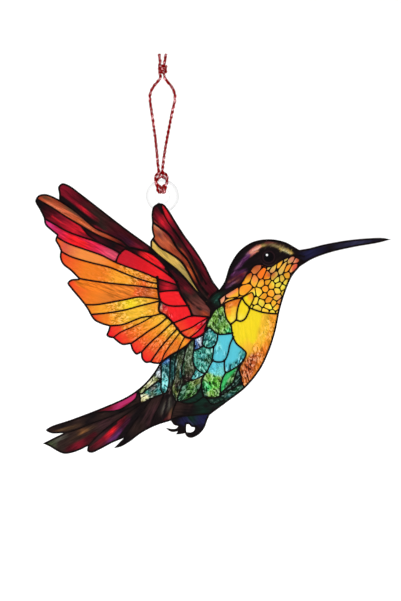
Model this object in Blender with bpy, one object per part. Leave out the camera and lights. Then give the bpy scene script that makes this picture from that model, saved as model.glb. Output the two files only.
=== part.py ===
"""Hanging ornament: a clear acrylic sheet cut to a hummingbird's outline, on a glitter cord.

The sheet has a round hanging ring at the tip of the far wing. The cord is hitched through the ring
and its two ends are knotted together above, so that it makes a loop. Metres, +Z up. The printed
face looks towards -Y, and the origin is where a hook holds the loop, just under its knot.
"""

from math import ceil, cos, pi, sin

import bmesh
import bpy
from mathutils import Matrix, Vector

MM = 0.001

# The sheet
BIRD_SPAN = 0.150
SHEET_THICKNESS = 0.003

# The hanging ring, which is part of the sheet
RING_RADIUS = 0.007
HOLE_RADIUS = 0.0029
HOLE_TO_WING = 0.00005
WING_TIP_SIDE = -0.0017

# The cord and its loop
CORD_DIAMETER = 0.0014
CORD_CLEARANCE = 0.00025
HANG_DROP = 0.049
HITCH_SIDE = -0.0004
KNOT_RADIUS = 0.00215
KNOT_WRAPS = 3
WRAP_HEIGHT = 1.1 * CORD_DIAMETER
WRAP_GROOVE = 0.175 * CORD_DIAMETER
KNOT_ROUNDING = 0.35 * KNOT_RADIUS
KNOT_GAP = 0.0003
TAIL_SIDE = 0.55 * CORD_DIAMETER
TAIL_LENGTH = 0.0042
TAIL_LEAN = 0.0007

# How finely curves are cut into facets
OUTLINE_FACET = 0.001
CORD_FACET = 3.2 * CORD_DIAMETER
RING_FACETS = 64
KNOT_FACETS = 20
WRAP_FACETS = 8
ROUNDED_FACETS = 3
TAIL_FACETS = 10

CORD_RADIUS = CORD_DIAMETER / 2
HOLE_HEIGHT = -HANG_DROP

# The bird's outline, clockwise from the far wing's tip, in millimetres from that tip, as drawn for a
# span of 150 mm. Each stretch runs smoothly to the first point of the next one, where it turns sharply.
DRAWN_SPAN = 150
OUTLINE = [
    ("far wing's leading edge",
     [(0, 0), (2.2, -0.5), (4.2, -2.8), (7, -7.3), (11.3, -14), (15.5, -19.6), (19.7, -26.3), (23.1, -33)]),
    ("nape and crown", [(25.7, -36.5), (27.8, -33.3), (30.1, -26.5), (34.2, -20.2), (39.9, -16.4), (46.9, -15.3),
                        (53.4, -16.5)]),
    ("top of the bill", [(59.4, -19.8), (63.1, -19.2), (70.3, -17.4), (80.8, -15.6), (90.5, -14.8), (94.7, -14.8)]),
    ("underside of the bill", [(98, -15.4), (92.2, -16.9), (82.9, -18.5), (72.4, -20.9), (64.8, -23.7)]),
    ("throat, breast and belly", [(59.7, -26.8), (56.4, -30.9), (53.7, -37.1), (51.3, -44.9), (49.5, -53.6),
                                  (46.8, -62.2), (42.7, -70.6), (36.7, -77.9), (29.4, -83.6)]),
    ("hooked claw", [(21.7, -89.3), (20.7, -91.4), (19.4, -94.8), (16.9, -97.7), (13.6, -99.1), (11.8, -98.3)]),
    ("heel", [(11.2, -97.1), (9.4, -97.5)]),
    ("toe notch", [(7.4, -97.6)]),
    ("underside of the straight claw", [(8.2, -96.3), (6.2, -96.6), (4.5, -96.1)]),
    ("top of the straight claw", [(3.2, -94.8), (5.6, -95.3), (7.5, -95.1)]),
    ("root of the straight claw", [(8.4, -94.1), (6.6, -93.6)]),
    ("under the tail", [(5.3, -91.8), (-1.4, -94), (-7.3, -97.1), (-12.3, -100.8), (-15.9, -102.8)]),
    ("notch beside the short feather", [(-18.8, -103.4), (-16.6, -101.2)]),
    ("third tail feather", [(-14.7, -99.2), (-19.5, -101.2), (-24.6, -103.9), (-28.2, -105.4), (-30, -104.7)]),
    ("second tail feather", [(-29.8, -102.6), (-34.3, -104.7), (-39.5, -105.8), (-42.9, -104.5), (-45.6, -102.8)]),
    ("fork of the tail", [(-48.7, -101.4), (-44.8, -99.4)]),
    ("first tail feather and rump", [(-40.1, -97.1), (-45.2, -97.1), (-47.4, -95.8), (-45.2, -94.2), (-37.2, -91.5),
                                     (-24.6, -86.7), (-12.8, -81.4), (-6.4, -76.7), (-2.2, -71.9)]),
    ("tertial", [(0.3, -68), (-1.6, -67.9)]),
    ("first secondary", [(-3.5, -67.4), (-5.5, -67.5), (-7.2, -65.5)]),
    ("second secondary", [(-7.4, -63.3), (-9.2, -64.1), (-11, -62.3)]),
    ("third secondary", [(-11.9, -59.6), (-15.1, -60), (-17.4, -58.6)]),
    ("fourth secondary", [(-19.1, -57.1), (-20.8, -56.8), (-22, -55.8), (-21.3, -54)]),
    ("fifth secondary", [(-20.8, -52.1), (-23.9, -51.2), (-27, -49.6)]),
    ("sixth secondary", [(-28.5, -47.7), (-29.8, -45.2)]),
    ("sixth primary", [(-31.4, -42.8), (-34.1, -39.5), (-36.8, -36.3), (-38.4, -33.8), (-36.8, -32.2)]),
    ("fifth primary", [(-33.8, -31.9), (-37, -28.7), (-40.5, -25.8), (-41.6, -22.8)]),
    ("fourth primary", [(-41.3, -20.2), (-42.4, -17.8), (-43.5, -15.8)]),
    ("third primary", [(-42.9, -13.6), (-45.5, -11.5), (-47.8, -9.2)]),
    ("second primary", [(-48.4, -6.2), (-50.2, -2.6), (-51.9, 0.7), (-50.7, 3.1), (-47.8, 3.8), (-44.8, 2.9)]),
    ("first primary", [(-41.9, 1.5), (-41.9, 4), (-42.3, 6.6), (-40.6, 8.3), (-37.6, 7.4), (-33, 4.1),
                       (-24.6, -2.4), (-14, -10.6)]),
    ("far wing's lower lobe", [(-3.4, -18.3), (-3.4, -16.3)]),
    ("far wing's middle lobe", [(-2.1, -14.2), (-2.8, -11.4)]),
    ("far wing's tip", [(-2.7, -8.2), (-2.9, -4.7), (-2.1, -1.5)]),
]

# The small opening between the toes, drawn in the same way
TOE_OPENING = [
    ("top", [(11.9, -93.3)]),
    ("hooked claw's side", [(13, -93.4), (13.9, -94.4)]),
    ("underside", [(15.4, -94.6), (15, -96.1), (13.5, -96.8)]),
    ("leg's side", [(11.8, -96.6), (11.7, -94.9)]),
]

# The strands of the cord from the ring up to the knot: across, back and up, in millimetres from the
# centre of the ring's hole
LEFT_STRAND = [
    (-1.3, -2.8, 9.2), (-1.52, -2.85, 10.4), (-1.85, -2.45, 13.4), (-2.35, -1.75, 18.5), (-3.15, -0.95, 25.2),
    (-4.25, -0.35, 33.5), (-5.2, -0.05, 40.2), (-5.3, 0, 42.2), (-4.8, 0, 44.3), (-3.8, 0, 46.2), (-2.6, 0, 47.7),
    (-1.5, 0, 49), (-0.87, 0, 50.2), (-0.75, 0, 51),
]
RIGHT_STRAND = [
    (0.25, -2.8, 9.2), (0.08, -2.85, 10.4), (0.4, -2.45, 13.9), (1.15, -1.75, 19.6), (2.15, -0.95, 25.3),
    (3.85, -0.35, 34), (5.2, -0.05, 40.2), (5.3, 0, 42.2), (4.8, 0, 44.3), (3.8, 0, 46.2), (2.6, 0, 47.7),
    (1.5, 0, 49), (0.87, 0, 50.2), (0.75, 0, 51),
]


def between(before, start, end, after, share):
    """A point that share of the way from start to end, on a smooth curve through all four."""
    t1 = (start - before).length ** 0.5
    t2 = t1 + (end - start).length ** 0.5
    t3 = t2 + (after - end).length ** 0.5
    t = t1 + (t2 - t1) * share
    first = before.lerp(start, t / t1)
    middle = start.lerp(end, (t - t1) / (t2 - t1))
    last = end.lerp(after, (t - t2) / (t3 - t2))
    return first.lerp(middle, t / t2).lerp(middle.lerp(last, (t - t1) / (t3 - t1)), share)


def smooth(points, step):
    """Points at most a step apart on a smooth curve through the given ones, the last one included."""
    points = [Vector(p) for p in points]
    ends = [2 * points[0] - points[1], *points, 2 * points[-1] - points[-2]]
    line = []
    for before, start, end, after in zip(ends, ends[1:], ends[2:], ends[3:]):
        count = ceil((end - start).length / step)
        line += [between(before, start, end, after, k / count) for k in range(count)]
    return line + [points[-1]]


def outline_points(stretches):
    """A closed outline through its stretches, as (x, z) in metres, placed at the far wing's tip."""
    scale = BIRD_SPAN / DRAWN_SPAN
    tip = Vector((WING_TIP_SIDE, HOLE_HEIGHT - HOLE_RADIUS - HOLE_TO_WING))
    line = []
    for (_, points), (_, following) in zip(stretches, stretches[1:] + stretches[:1]):
        line += [tip + scale * p for p in smooth([*points, following[0]], OUTLINE_FACET / scale)[:-1]]
    return line


def material(name, color, roughness, transmission=0.0):
    """A plain finish."""
    finish = bpy.data.materials.new(name)
    finish.use_nodes = True
    shader = finish.node_tree.nodes["Principled BSDF"]
    shader.inputs["Base Color"].default_value = (*color, 1)
    shader.inputs["Roughness"].default_value = roughness
    shader.inputs["Transmission Weight"].default_value = transmission
    return finish


def add(name, data):
    """A new object in the scene."""
    piece = bpy.data.objects.new(name, data)
    bpy.context.collection.objects.link(piece)
    return piece


def plate(name, outline, thickness):
    """A flat plate of that outline, standing upright with its middle at y = 0."""
    shape = bmesh.new()
    front = shape.faces.new([shape.verts.new((p.x, -thickness / 2, p.y)) for p in outline])
    bmesh.ops.recalc_face_normals(shape, faces=[front])
    grown = bmesh.ops.extrude_face_region(shape, geom=[front], use_keep_orig=True)
    back = [v for v in grown["geom"] if isinstance(v, bmesh.types.BMVert)]
    bmesh.ops.translate(shape, verts=back, vec=(0, thickness, 0))
    bmesh.ops.recalc_face_normals(shape, faces=shape.faces)
    data = bpy.data.meshes.new(name)
    shape.to_mesh(data)
    shape.free()
    return add(name, data)


def circle(radius):
    """Points round a circle about the ring's hole."""
    turns = [2 * pi * k / RING_FACETS for k in range(RING_FACETS)]
    return [Vector((radius * sin(a), HOLE_HEIGHT + radius * cos(a))) for a in turns]


def combine(piece, tool, operation):
    """Joins the tool to the piece, or cuts it out of it, and hides the tool."""
    change = piece.modifiers.new(tool.name, "BOOLEAN")
    change.operation = operation
    change.solver = "EXACT"
    change.object = tool
    tool.hide_render = True
    tool.display_type = "WIRE"


def make_sheet():
    """The acrylic sheet: the bird and its ring in one, with the ring's hole and the toe opening."""
    clear = material("clear acrylic", (0.95, 0.96, 0.97), 0.03, 1.0)
    sheet = plate("acrylic_panel", outline_points(OUTLINE), SHEET_THICKNESS)
    sheet.data.materials.append(clear)
    combine(sheet, plate("ring", circle(RING_RADIUS), SHEET_THICKNESS), "UNION")
    combine(sheet, plate("ring_hole", circle(HOLE_RADIUS), 2 * SHEET_THICKNESS), "DIFFERENCE")
    combine(sheet, plate("toe_opening", outline_points(TOE_OPENING), 2 * SHEET_THICKNESS), "DIFFERENCE")


def hitch_half():
    """The right half of the hitch, from the crown of its arch down the front of the ring, through the
    hole, up behind and over the ring, as (across, back, up) from the hole's centre."""
    face = SHEET_THICKNESS / 2 + CORD_CLEARANCE + CORD_RADIUS
    hole = HOLE_RADIUS - CORD_CLEARANCE - CORD_RADIUS
    over = RING_RADIUS + CORD_CLEARANCE + CORD_RADIUS
    return [
        (0, -0.52 * face, over + 1.68 * MM),
        (1.05 * MM, -0.54 * face, over + 1.52 * MM),
        (1.9 * MM, -0.64 * face, over + 0.98 * MM),
        (2.27 * MM, -0.8 * face, over + 0.15 * MM),
        (2.3 * MM, -0.96 * face, over - 0.65 * MM),
        (2.25 * MM, -1.02 * face, over - 1.75 * MM),
        (2.05 * MM, -1.02 * face, over - 2.85 * MM),
        (1.6 * MM, -1.02 * face, hole + 2.05 * MM),
        (1.15 * MM, -1.02 * face, hole + 1.05 * MM),
        (0.88 * MM, -1.02 * face, hole - 0.05 * MM),
        (0.8 * MM, -0.66 * face, hole - 0.95 * MM),
        (0.84 * MM, 0, hole - 1.05 * MM),
        (0.98 * MM, 0.66 * face, hole - 0.95 * MM),
        (1.2 * MM, 1.02 * face, hole - 0.05 * MM),
        (1.5 * MM, 1.02 * face, hole + 1.15 * MM),
        (1.72 * MM, 1.02 * face, hole + 2.7 * MM),
        (1.62 * MM, 1.02 * face, over - 1.75 * MM),
        (1.15 * MM, 0.94 * face, over - 0.45 * MM),
        (0.88 * MM, 0.55 * face, over + 0.06 * MM),
        (0.78 * MM, 0, over + 0.08 * MM),
        (0.75 * MM, -0.5 * face, over + 0.04 * MM),
        (0.76 * MM, -0.92 * face, over + 0.35 * MM),
    ]


def cord_route():
    """The cord's centre line, from the knot down the left strand, round the hitch and up the right one."""
    half = [Vector(p) for p in hitch_half()]
    hole = Vector((0, 0, HOLE_HEIGHT))
    shift = hole + Vector((HITCH_SIDE, 0, 0))
    right = [shift + p for p in half] + [hole + MM * Vector(p) for p in RIGHT_STRAND]
    left = [shift + Vector((-x, y, z)) for x, y, z in half[1:]] + [hole + MM * Vector(p) for p in LEFT_STRAND]
    return left[::-1] + right


def tube(name, route):
    """A round cord along a route."""
    curve = bpy.data.curves.new(name, "CURVE")
    curve.dimensions = "3D"
    curve.bevel_depth = CORD_RADIUS
    curve.bevel_resolution = 2
    curve.use_fill_caps = True
    spline = curve.splines.new("POLY")
    spline.points.add(len(route) - 1)
    for point, place in zip(spline.points, route):
        point.co = (*place, 1)
    return add(name, curve)


def rod(name, start, end, radius):
    """A straight round rod from one point to another."""
    length = (end - start).length
    turn = (end - start).to_track_quat("Z", "Y").to_matrix().to_4x4()
    shape = bmesh.new()
    bmesh.ops.create_cone(shape, cap_ends=True, segments=TAIL_FACETS, radius1=radius, radius2=radius,
                          depth=length, matrix=Matrix.Translation((start + end) / 2) @ turn)
    data = bpy.data.meshes.new(name)
    shape.to_mesh(data)
    shape.free()
    return add(name, data)


def make_cord():
    """The cord's loop, from one side of the knot's underside to the other."""
    red = material("red glitter cord", (0.42, 0.03, 0.04), 0.45)
    cord = tube("hanging_cord", smooth(cord_route(), CORD_FACET))
    cord.data.materials.append(red)


def make_knot():
    """The knot: a turned barrel with a ridge for each wrap, and the cord's two short tails above it."""
    red = material("red glitter knot", (0.42, 0.03, 0.04), 0.45)
    foot = max(p[2] for p in RIGHT_STRAND) * MM + HOLE_HEIGHT + KNOT_GAP
    height = WRAP_HEIGHT * KNOT_WRAPS
    steps = WRAP_FACETS * KNOT_WRAPS
    profile = [Vector((0, 0, foot))]
    for k in range(1, steps):
        groove = WRAP_GROOVE * (1 - abs(sin(pi * k / WRAP_FACETS)))
        rounding = KNOT_ROUNDING * max(0, 1 - min(k, steps - k) / ROUNDED_FACETS) ** 2
        profile.append(Vector((KNOT_RADIUS - groove - rounding, 0, foot + height * k / steps)))
    profile.append(Vector((0, 0, foot + height)))
    shape = bmesh.new()
    points = [shape.verts.new(p) for p in profile]
    edges = [shape.edges.new(pair) for pair in zip(points, points[1:])]
    bmesh.ops.spin(shape, geom=points + edges, cent=(0, 0, 0), axis=(0, 0, 1), angle=2 * pi,
                   steps=KNOT_FACETS, use_merge=True)
    bmesh.ops.remove_doubles(shape, verts=shape.verts, dist=0.00001)
    bmesh.ops.recalc_face_normals(shape, faces=shape.faces)
    data = bpy.data.meshes.new("cord_knot")
    shape.to_mesh(data)
    shape.free()
    data.materials.append(red)
    knot = add("cord_knot", data)
    top = foot + height
    for name, side in (("left_tail", -1), ("right_tail", 1)):
        root = Vector((side * TAIL_SIDE, 0, top - CORD_DIAMETER))
        end = Vector((side * (TAIL_SIDE + TAIL_LEAN), 0, top + TAIL_LENGTH))
        combine(knot, rod(name, root, end, CORD_RADIUS), "UNION")


def main():
    """Clears the scene and makes the ornament."""
    for old in list(bpy.data.objects):
        bpy.data.objects.remove(old)
    make_sheet()
    make_cord()
    make_knot()


main()
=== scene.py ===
"""Hanging ornament: a clear acrylic hummingbird with a stained-glass picture, on a red glitter cord.

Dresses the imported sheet, cord and knot, and sets up the studio. Metres, +Z up. The printed face looks
towards -Y, and the origin is where a hook holds the cord's loop, just under its knot.
"""

import random
from math import ceil, cos, hypot, pi, sin

import bmesh
import bpy
import numpy as np
from bpy.props import FloatProperty, FloatVectorProperty, IntProperty, PointerProperty
from bpy.types import Operator, Panel, PropertyGroup
from mathutils import Color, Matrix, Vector
from mathutils.geometry import delaunay_2d_cdt
from mathutils.kdtree import KDTree


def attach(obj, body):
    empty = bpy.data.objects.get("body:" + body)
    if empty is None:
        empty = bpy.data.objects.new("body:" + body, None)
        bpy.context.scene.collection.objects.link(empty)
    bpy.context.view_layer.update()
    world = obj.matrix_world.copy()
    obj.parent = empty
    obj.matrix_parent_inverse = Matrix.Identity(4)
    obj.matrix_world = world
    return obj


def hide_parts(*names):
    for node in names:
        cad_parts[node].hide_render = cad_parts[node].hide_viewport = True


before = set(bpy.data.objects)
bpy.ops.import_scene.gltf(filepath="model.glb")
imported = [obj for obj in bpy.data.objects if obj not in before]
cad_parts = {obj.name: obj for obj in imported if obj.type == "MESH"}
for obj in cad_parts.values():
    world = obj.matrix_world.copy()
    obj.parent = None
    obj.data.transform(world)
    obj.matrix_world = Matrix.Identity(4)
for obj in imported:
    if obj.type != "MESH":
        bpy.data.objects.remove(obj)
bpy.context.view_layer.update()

bl_info = {
    "name": "Hanging Ornament",
    "version": (1, 0, 0),
    "blender": (4, 5, 0),
    "location": "View3D > Sidebar > Ornament",
    "description": "Dresses a clear acrylic hummingbird with its stained-glass picture and its glitter cord",
    "category": "Object",
}

MM = 0.001

# The hanging ring's hole, and the far wing's tip, from which the picture is drawn
HOLE = Vector((0, 0, -0.049))
HOLE_RADIUS = 2.9
RING_RADIUS = 7.0
WING_TIP = Vector((-0.0017, -0.05195))

# Line widths of the picture, in millimetres
BORDER = 1.6
HEAVY = 0.95
MEDIUM = 0.71
SLIM = 0.55

# Finishes of the picture's colours: how streaky and how flecked they are, from 0 to 1
SMOOTH = (0.12, 0.05)
STREAKY = (1.0, 0.0)
MOTTLED = (0.3, 0.55)
HAMMERED = (0.3, 1.0)
RIPPLED = (1.1, 0.9)

# The tip of the far wing where it lies on the ring, in millimetres from the tip
TIP_SIDES = [
    [(-2.1, -14.2), (-2.8, -11.4), (-2.7, -8.2), (-2.9, -4.7), (-2.1, -1.5), (0, 0)],
    [(0, 0), (2.2, -0.5), (4.2, -2.8), (7, -7.3), (11.3, -14)],
]

# The picture's lines: their widths, and points in millimetres from the far wing's tip
LEAD_LINES = {
    "first primary": (MEDIUM, [(-41.9, 1.1), (-39.3, -0.6), (-34.8, -3.7), (-30.3, -7.6), (-26.7, -10.6),
         (-20.4, -13.6), (-15.3, -16.2), (-13, -18.4)]),
    "second primary": (MEDIUM, [(-51.5, 1.8), (-45.1, -1.9), (-39, -5.8), (-33, -9.4), (-25.2, -13.8),
         (-18.5, -16.6), (-13, -19.2)]),
    "short bar": (SLIM, [(-32.6, -9.7), (-30, -13.1), (-26.7, -15.5), (-25.2, -16.7)]),
    "third primary": (MEDIUM, [(-48.8, -6.1), (-44.1, -8.8), (-38.4, -12), (-31.8, -14.5), (-25.5, -16.6),
         (-19.1, -19.6), (-16.1, -21.2)]),
    "pink feather": (MEDIUM, [(-43.5, -14), (-38.4, -16.9), (-31.8, -19.3), (-23.9, -22.1), (-17.9, -25.1),
         (-11.9, -27.4), (-6.2, -29.4), (-0.3, -31.9), (3.7, -33.3), (7.9, -34.6)]),
    "fourth primary": (MEDIUM, [(-41.7, -20), (-37.2, -22.5), (-28.8, -25.1), (-20.4, -27.2), (-14.8, -29.5),
         (-7.7, -32.2), (-3.5, -33.4), (-0.1, -34)]),
    "fifth primary": (MEDIUM, [(-34.3, -31.7), (-28.8, -32.7), (-23.3, -33.5), (-16.1, -34.3), (-9, -35),
         (-0.1, -36.2)]),
    "sixth primary": (MEDIUM, [(-31.6, -42.9), (-26.3, -42.9), (-19.6, -41.8), (-13.6, -40.7), (-8.6, -39.7),
         (-3.5, -40), (0.7, -40.7)]),
    "sixth secondary": (MEDIUM, [(-29, -47.1), (-22.5, -46.5), (-14.8, -45.3), (-7.7, -43.4), (0.7, -41.3)]),
    "fifth secondary": (MEDIUM, [(-21.2, -51.9), (-14.8, -51.2), (-7, -48.3), (-2.2, -47.6), (1.1, -46.6)]),
    "fourth secondary": (SLIM, [(-19.3, -57), (-15.7, -54.4), (-11.2, -52.4), (-6, -49.9), (-2.2, -47.6)]),
    "third secondary": (MEDIUM, [(-12, -59.7), (-7, -56.1), (-3.5, -53.6), (0, -51.5), (3.5, -48.5)]),
    "second secondary": (MEDIUM, [(-7.5, -63.4), (-3.5, -59), (0.7, -55.3), (5.8, -50.5)]),
    "first secondary": (MEDIUM, [(-3.5, -67.3), (0.7, -61.3), (3.7, -57.7), (8.1, -52.8)]),
    "tertial": (SLIM, [(1, -67.5), (2.5, -63.8), (5.4, -59.5), (9.1, -54.7)]),
    "short tertial": (SLIM, [(8.1, -62.6), (9.6, -59.3), (11.1, -56.5)]),
    "wing over the body": (HEAVY, [(0, -68.2), (4.9, -64.5), (9.1, -62.1), (12.1, -60), (14.5, -57.4)]),
    "secondaries' roots": (HEAVY, [(-0.5, -31.4), (-0.2, -35), (0.1, -38.4), (0.5, -41.3), (0.4, -45.8),
         (2.7, -47.2), (6.1, -50.5), (8.5, -53.6), (10.8, -56.1), (14.1, -57.2), (16.9, -56.5), (19.1, -55.1),
         (20.3, -53.2)]),
    "wrist": (MEDIUM, [(-13.1, -18.8), (-16.3, -21.3), (-17.9, -24.7)]),
    "above the coverts": (HEAVY, [(-13.1, -18.7), (-9, -19.5), (-3.3, -21.1), (0.1, -23.6), (3, -26.8),
         (4.9, -30)]),
    "between the long coverts": (MEDIUM, [(-13.8, -19.3), (-11.1, -20.7), (-3.5, -25.1), (2.8, -29.2),
         (7.9, -33.3)]),
    "under the dark covert": (MEDIUM, [(0, -37.6), (3.6, -37.1), (8.3, -36.9)]),
    "second covert row": (MEDIUM, [(0.6, -41.3), (3.5, -43), (6.2, -43.5), (12.7, -43.3)]),
    "third covert row": (MEDIUM, [(6.4, -50.6), (10.1, -49.1), (13.8, -47.7), (20.9, -48.1)]),
    "fourth covert row": (SLIM, [(9.8, -54.2), (13.8, -52.6), (17.2, -50.5), (21.1, -48.3)]),
    "fifth covert row": (SLIM, [(13.4, -56.7), (16.2, -54.5), (18.5, -52.2), (21.2, -48.8)]),
    "under the arm": (HEAVY, [(3.2, -27.7), (5.8, -30.8), (8.1, -34.6), (9.4, -38.4), (11.2, -41.3),
         (13.2, -44.7), (14.2, -47.4)]),
    "far wing's streak": (SLIM, [(1.1, -0.5), (2.1, -4.3), (4.1, -8.1), (6.8, -11.8), (10, -16.5),
         (13.4, -21.5), (16.3, -27.4), (20.1, -34.2)]),
    "far wing's first feather": (HEAVY, [(-2.7, -7.9), (1.1, -10.7), (4.8, -13.7), (7.8, -18.8), (12, -23.7),
         (14.6, -28.3), (17.6, -34.6), (20.5, -38.4)]),
    "far wing's second feather": (HEAVY, [(-2.2, -15.5), (0.7, -18.7), (4.9, -21.2), (9.1, -24.2),
         (12.1, -28.3), (14.8, -33.3), (18, -38.4), (21.8, -42.2)]),
    "near wing's leading edge": (HEAVY, [(-3.5, -18.8), (-0.7, -21.5), (2.8, -24.4), (7.8, -28.3),
         (12, -32.7), (16.3, -37.7), (20.1, -42), (22.2, -44.6)]),
    "nape": (HEAVY, [(25.4, -36.9), (22.6, -39.2), (20.7, -42.6), (22.2, -44.7), (22.3, -46.8)]),
    "arm's end": (HEAVY, [(20.5, -42.4), (22.4, -45), (22, -47.7), (20.7, -50.2), (19.9, -53.2)]),
    "green pane's top": (MEDIUM, [(21.9, -48.3), (23.9, -45.1), (26.4, -43.5), (28.6, -41.9), (31.5, -40.8),
         (35.2, -40)]),
    "beside the breast": (MEDIUM, [(27.7, -42.4), (28, -45.9), (28.9, -49.2), (30.5, -51.3), (31, -54.2),
         (31.5, -56.5), (33, -59.4), (35.7, -61.7), (37, -63.3), (36.6, -65), (34.9, -67.9), (34, -70.2),
         (34.8, -72.9), (35.1, -75.5), (36.4, -78.3)]),
    "between the yellow panes": (MEDIUM, [(35.2, -40), (33.9, -43), (33.1, -46.5), (32.8, -49.2),
         (30.5, -51.2)]),
    "above the breast": (MEDIUM, [(35.3, -40.1), (36.7, -42.4), (38.4, -44.2), (37.7, -46.7), (36.5, -48.9),
         (34.7, -49.9), (32.8, -49.3)]),
    "under the throat": (MEDIUM, [(38.3, -44.2), (41.5, -45.4), (44.3, -46.2), (48.5, -46.7), (51.4, -46.7)]),
    "yellow scale": (SLIM, [(35.3, -40), (37.4, -38.7), (39.5, -37.8), (40.3, -39.7), (39.1, -42.8),
         (38.3, -44.2)]),
    "cheek": (MEDIUM, [(25.6, -40.6), (27.3, -39.2), (29.8, -37.6), (32.8, -35.7), (35.3, -33.3),
         (37.1, -30.4), (38.8, -28.1), (40.9, -26.2), (43.6, -25.8)]),
    "under the eye": (SLIM, [(43.5, -25.8), (45.4, -26.8), (47.7, -26.8), (50, -25.4), (53, -23.7),
         (55.9, -22.6), (58.5, -22.1), (61.4, -22.6)]),
    "root of the bill": (MEDIUM, [(57, -22.2), (59.9, -23.9), (62.3, -25.5)]),
    "shoulder": (MEDIUM, [(25.6, -40.6), (26.4, -42.9), (27.9, -43.5)]),
    "under the green pane": (MEDIUM, [(31.2, -54.9), (29.5, -55.2), (24.7, -55.2), (22.5, -53.2),
         (20.1, -52.3)]),
    "teal pane": (MEDIUM, [(25, -55.2), (24.7, -58.1), (23.3, -60.6), (20.9, -61.2), (18.9, -60.1),
         (18.8, -56.8), (19.9, -53.2)]),
    "blue pane": (MEDIUM, [(23.3, -60.5), (23.1, -63.3), (22.9, -66.3), (25.5, -67.1), (27.8, -66.5),
         (29.3, -63.6), (30.1, -59.9), (31.6, -56.5)]),
    "lower blue pane": (MEDIUM, [(27.8, -66.4), (27.8, -68.7), (28.4, -71.4), (31.1, -70.3), (33.6, -68.7),
         (35.9, -66.4)]),
    "mottled pane": (MEDIUM, [(19, -60.1), (16.9, -61.5), (15, -62.3), (14.6, -65), (14.9, -68.2),
         (17.3, -71), (19.8, -71.8), (21.6, -68.7), (23, -66.2)]),
    "small blue pane": (MEDIUM, [(15.1, -57.1), (15.2, -59.9), (15, -62.3)]),
    "small teal pane": (SLIM, [(14.9, -68.2), (15.5, -70.2), (13.8, -74.6), (17.4, -73.6), (19.8, -71.8)]),
    "blue and green pane": (MEDIUM, [(19.8, -71.8), (18.4, -74.8), (18.3, -77.6), (19.3, -81.7),
         (22.2, -82.2), (25.9, -81.4), (26.1, -78), (26.8, -74.6), (28.4, -71.4)]),
    "leaf green pane": (MEDIUM, [(34.2, -68.3), (32.5, -72.8), (31.3, -75.8), (28.5, -78.2), (26, -80.5)]),
    "olive pane": (MEDIUM, [(14, -74.6), (11, -76), (9.4, -78.4), (8.2, -83.5), (12.7, -82.6), (16.2, -80.3),
         (17.9, -77.3), (18.3, -74.5)]),
    "long leaf": (MEDIUM, [(13.5, -58.5), (11.8, -61.3), (10.6, -66.2), (9.7, -70.9), (11, -76)]),
    "belly streak": (SLIM, [(8.3, -62.6), (7, -67.9), (6.8, -73.8), (5.6, -79.3), (7.5, -83.9)]),
    "flank streak": (MEDIUM, [(5.2, -64.4), (4.9, -69.6), (4.6, -75.1), (3.5, -79.5), (2.2, -80.5),
         (1.3, -79.3), (1.2, -73.8), (1.1, -67.3)]),
    "between the rump panes": (MEDIUM, [(1.2, -74.2), (-1.8, -76.3), (-5, -78.8), (-7.3, -80.5),
         (-9.1, -79.8)]),
    "rump": (MEDIUM, [(-8.6, -79.5), (-7.7, -81.8), (-7.4, -84.3), (-3.5, -82.7), (-1, -81.6), (2.2, -80.5)]),
    "lower belly": (MEDIUM, [(26, -81.3), (28.5, -79.7), (31.9, -77.8), (35.4, -75.9)]),
    "belly": (SLIM, [(8.2, -83.5), (11.7, -84.5), (15.9, -83.9), (19.3, -81.8), (22.6, -84.8),
         (27.7, -83.3)]),
    "pink tail feather": (MEDIUM, [(-8.8, -80), (-9.4, -82.2), (-12.3, -84.8), (-15.3, -86.7), (-18.7, -87.7),
         (-22.9, -88), (-27.1, -88.7)]),
    "first tail feather": (SLIM, [(-7.5, -84.1), (-12.8, -86.7), (-19.5, -89.8), (-27.9, -92.9),
         (-34.7, -95.6), (-40, -97.2)]),
    "second tail feather": (SLIM, [(-6.9, -84.5), (-12.8, -88.6), (-19.5, -93.2), (-25.4, -98),
         (-29.8, -102.6)]),
    "third tail feather": (SLIM, [(-3.5, -83.2), (-6.9, -88.1), (-10.7, -93.2), (-14.6, -99.2)]),
    "under tail feather": (SLIM, [(2.3, -80.7), (0.7, -84.8), (-1.4, -89), (-3.5, -95)]),
    "vent": (SLIM, [(7.7, -83.7), (6.2, -87.3), (5.3, -91.8)]),
    "legs": (MEDIUM, [(5.4, -91.3), (9.6, -90), (14.2, -89.5), (18.4, -89.1), (21.8, -88.8)]),
}

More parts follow.
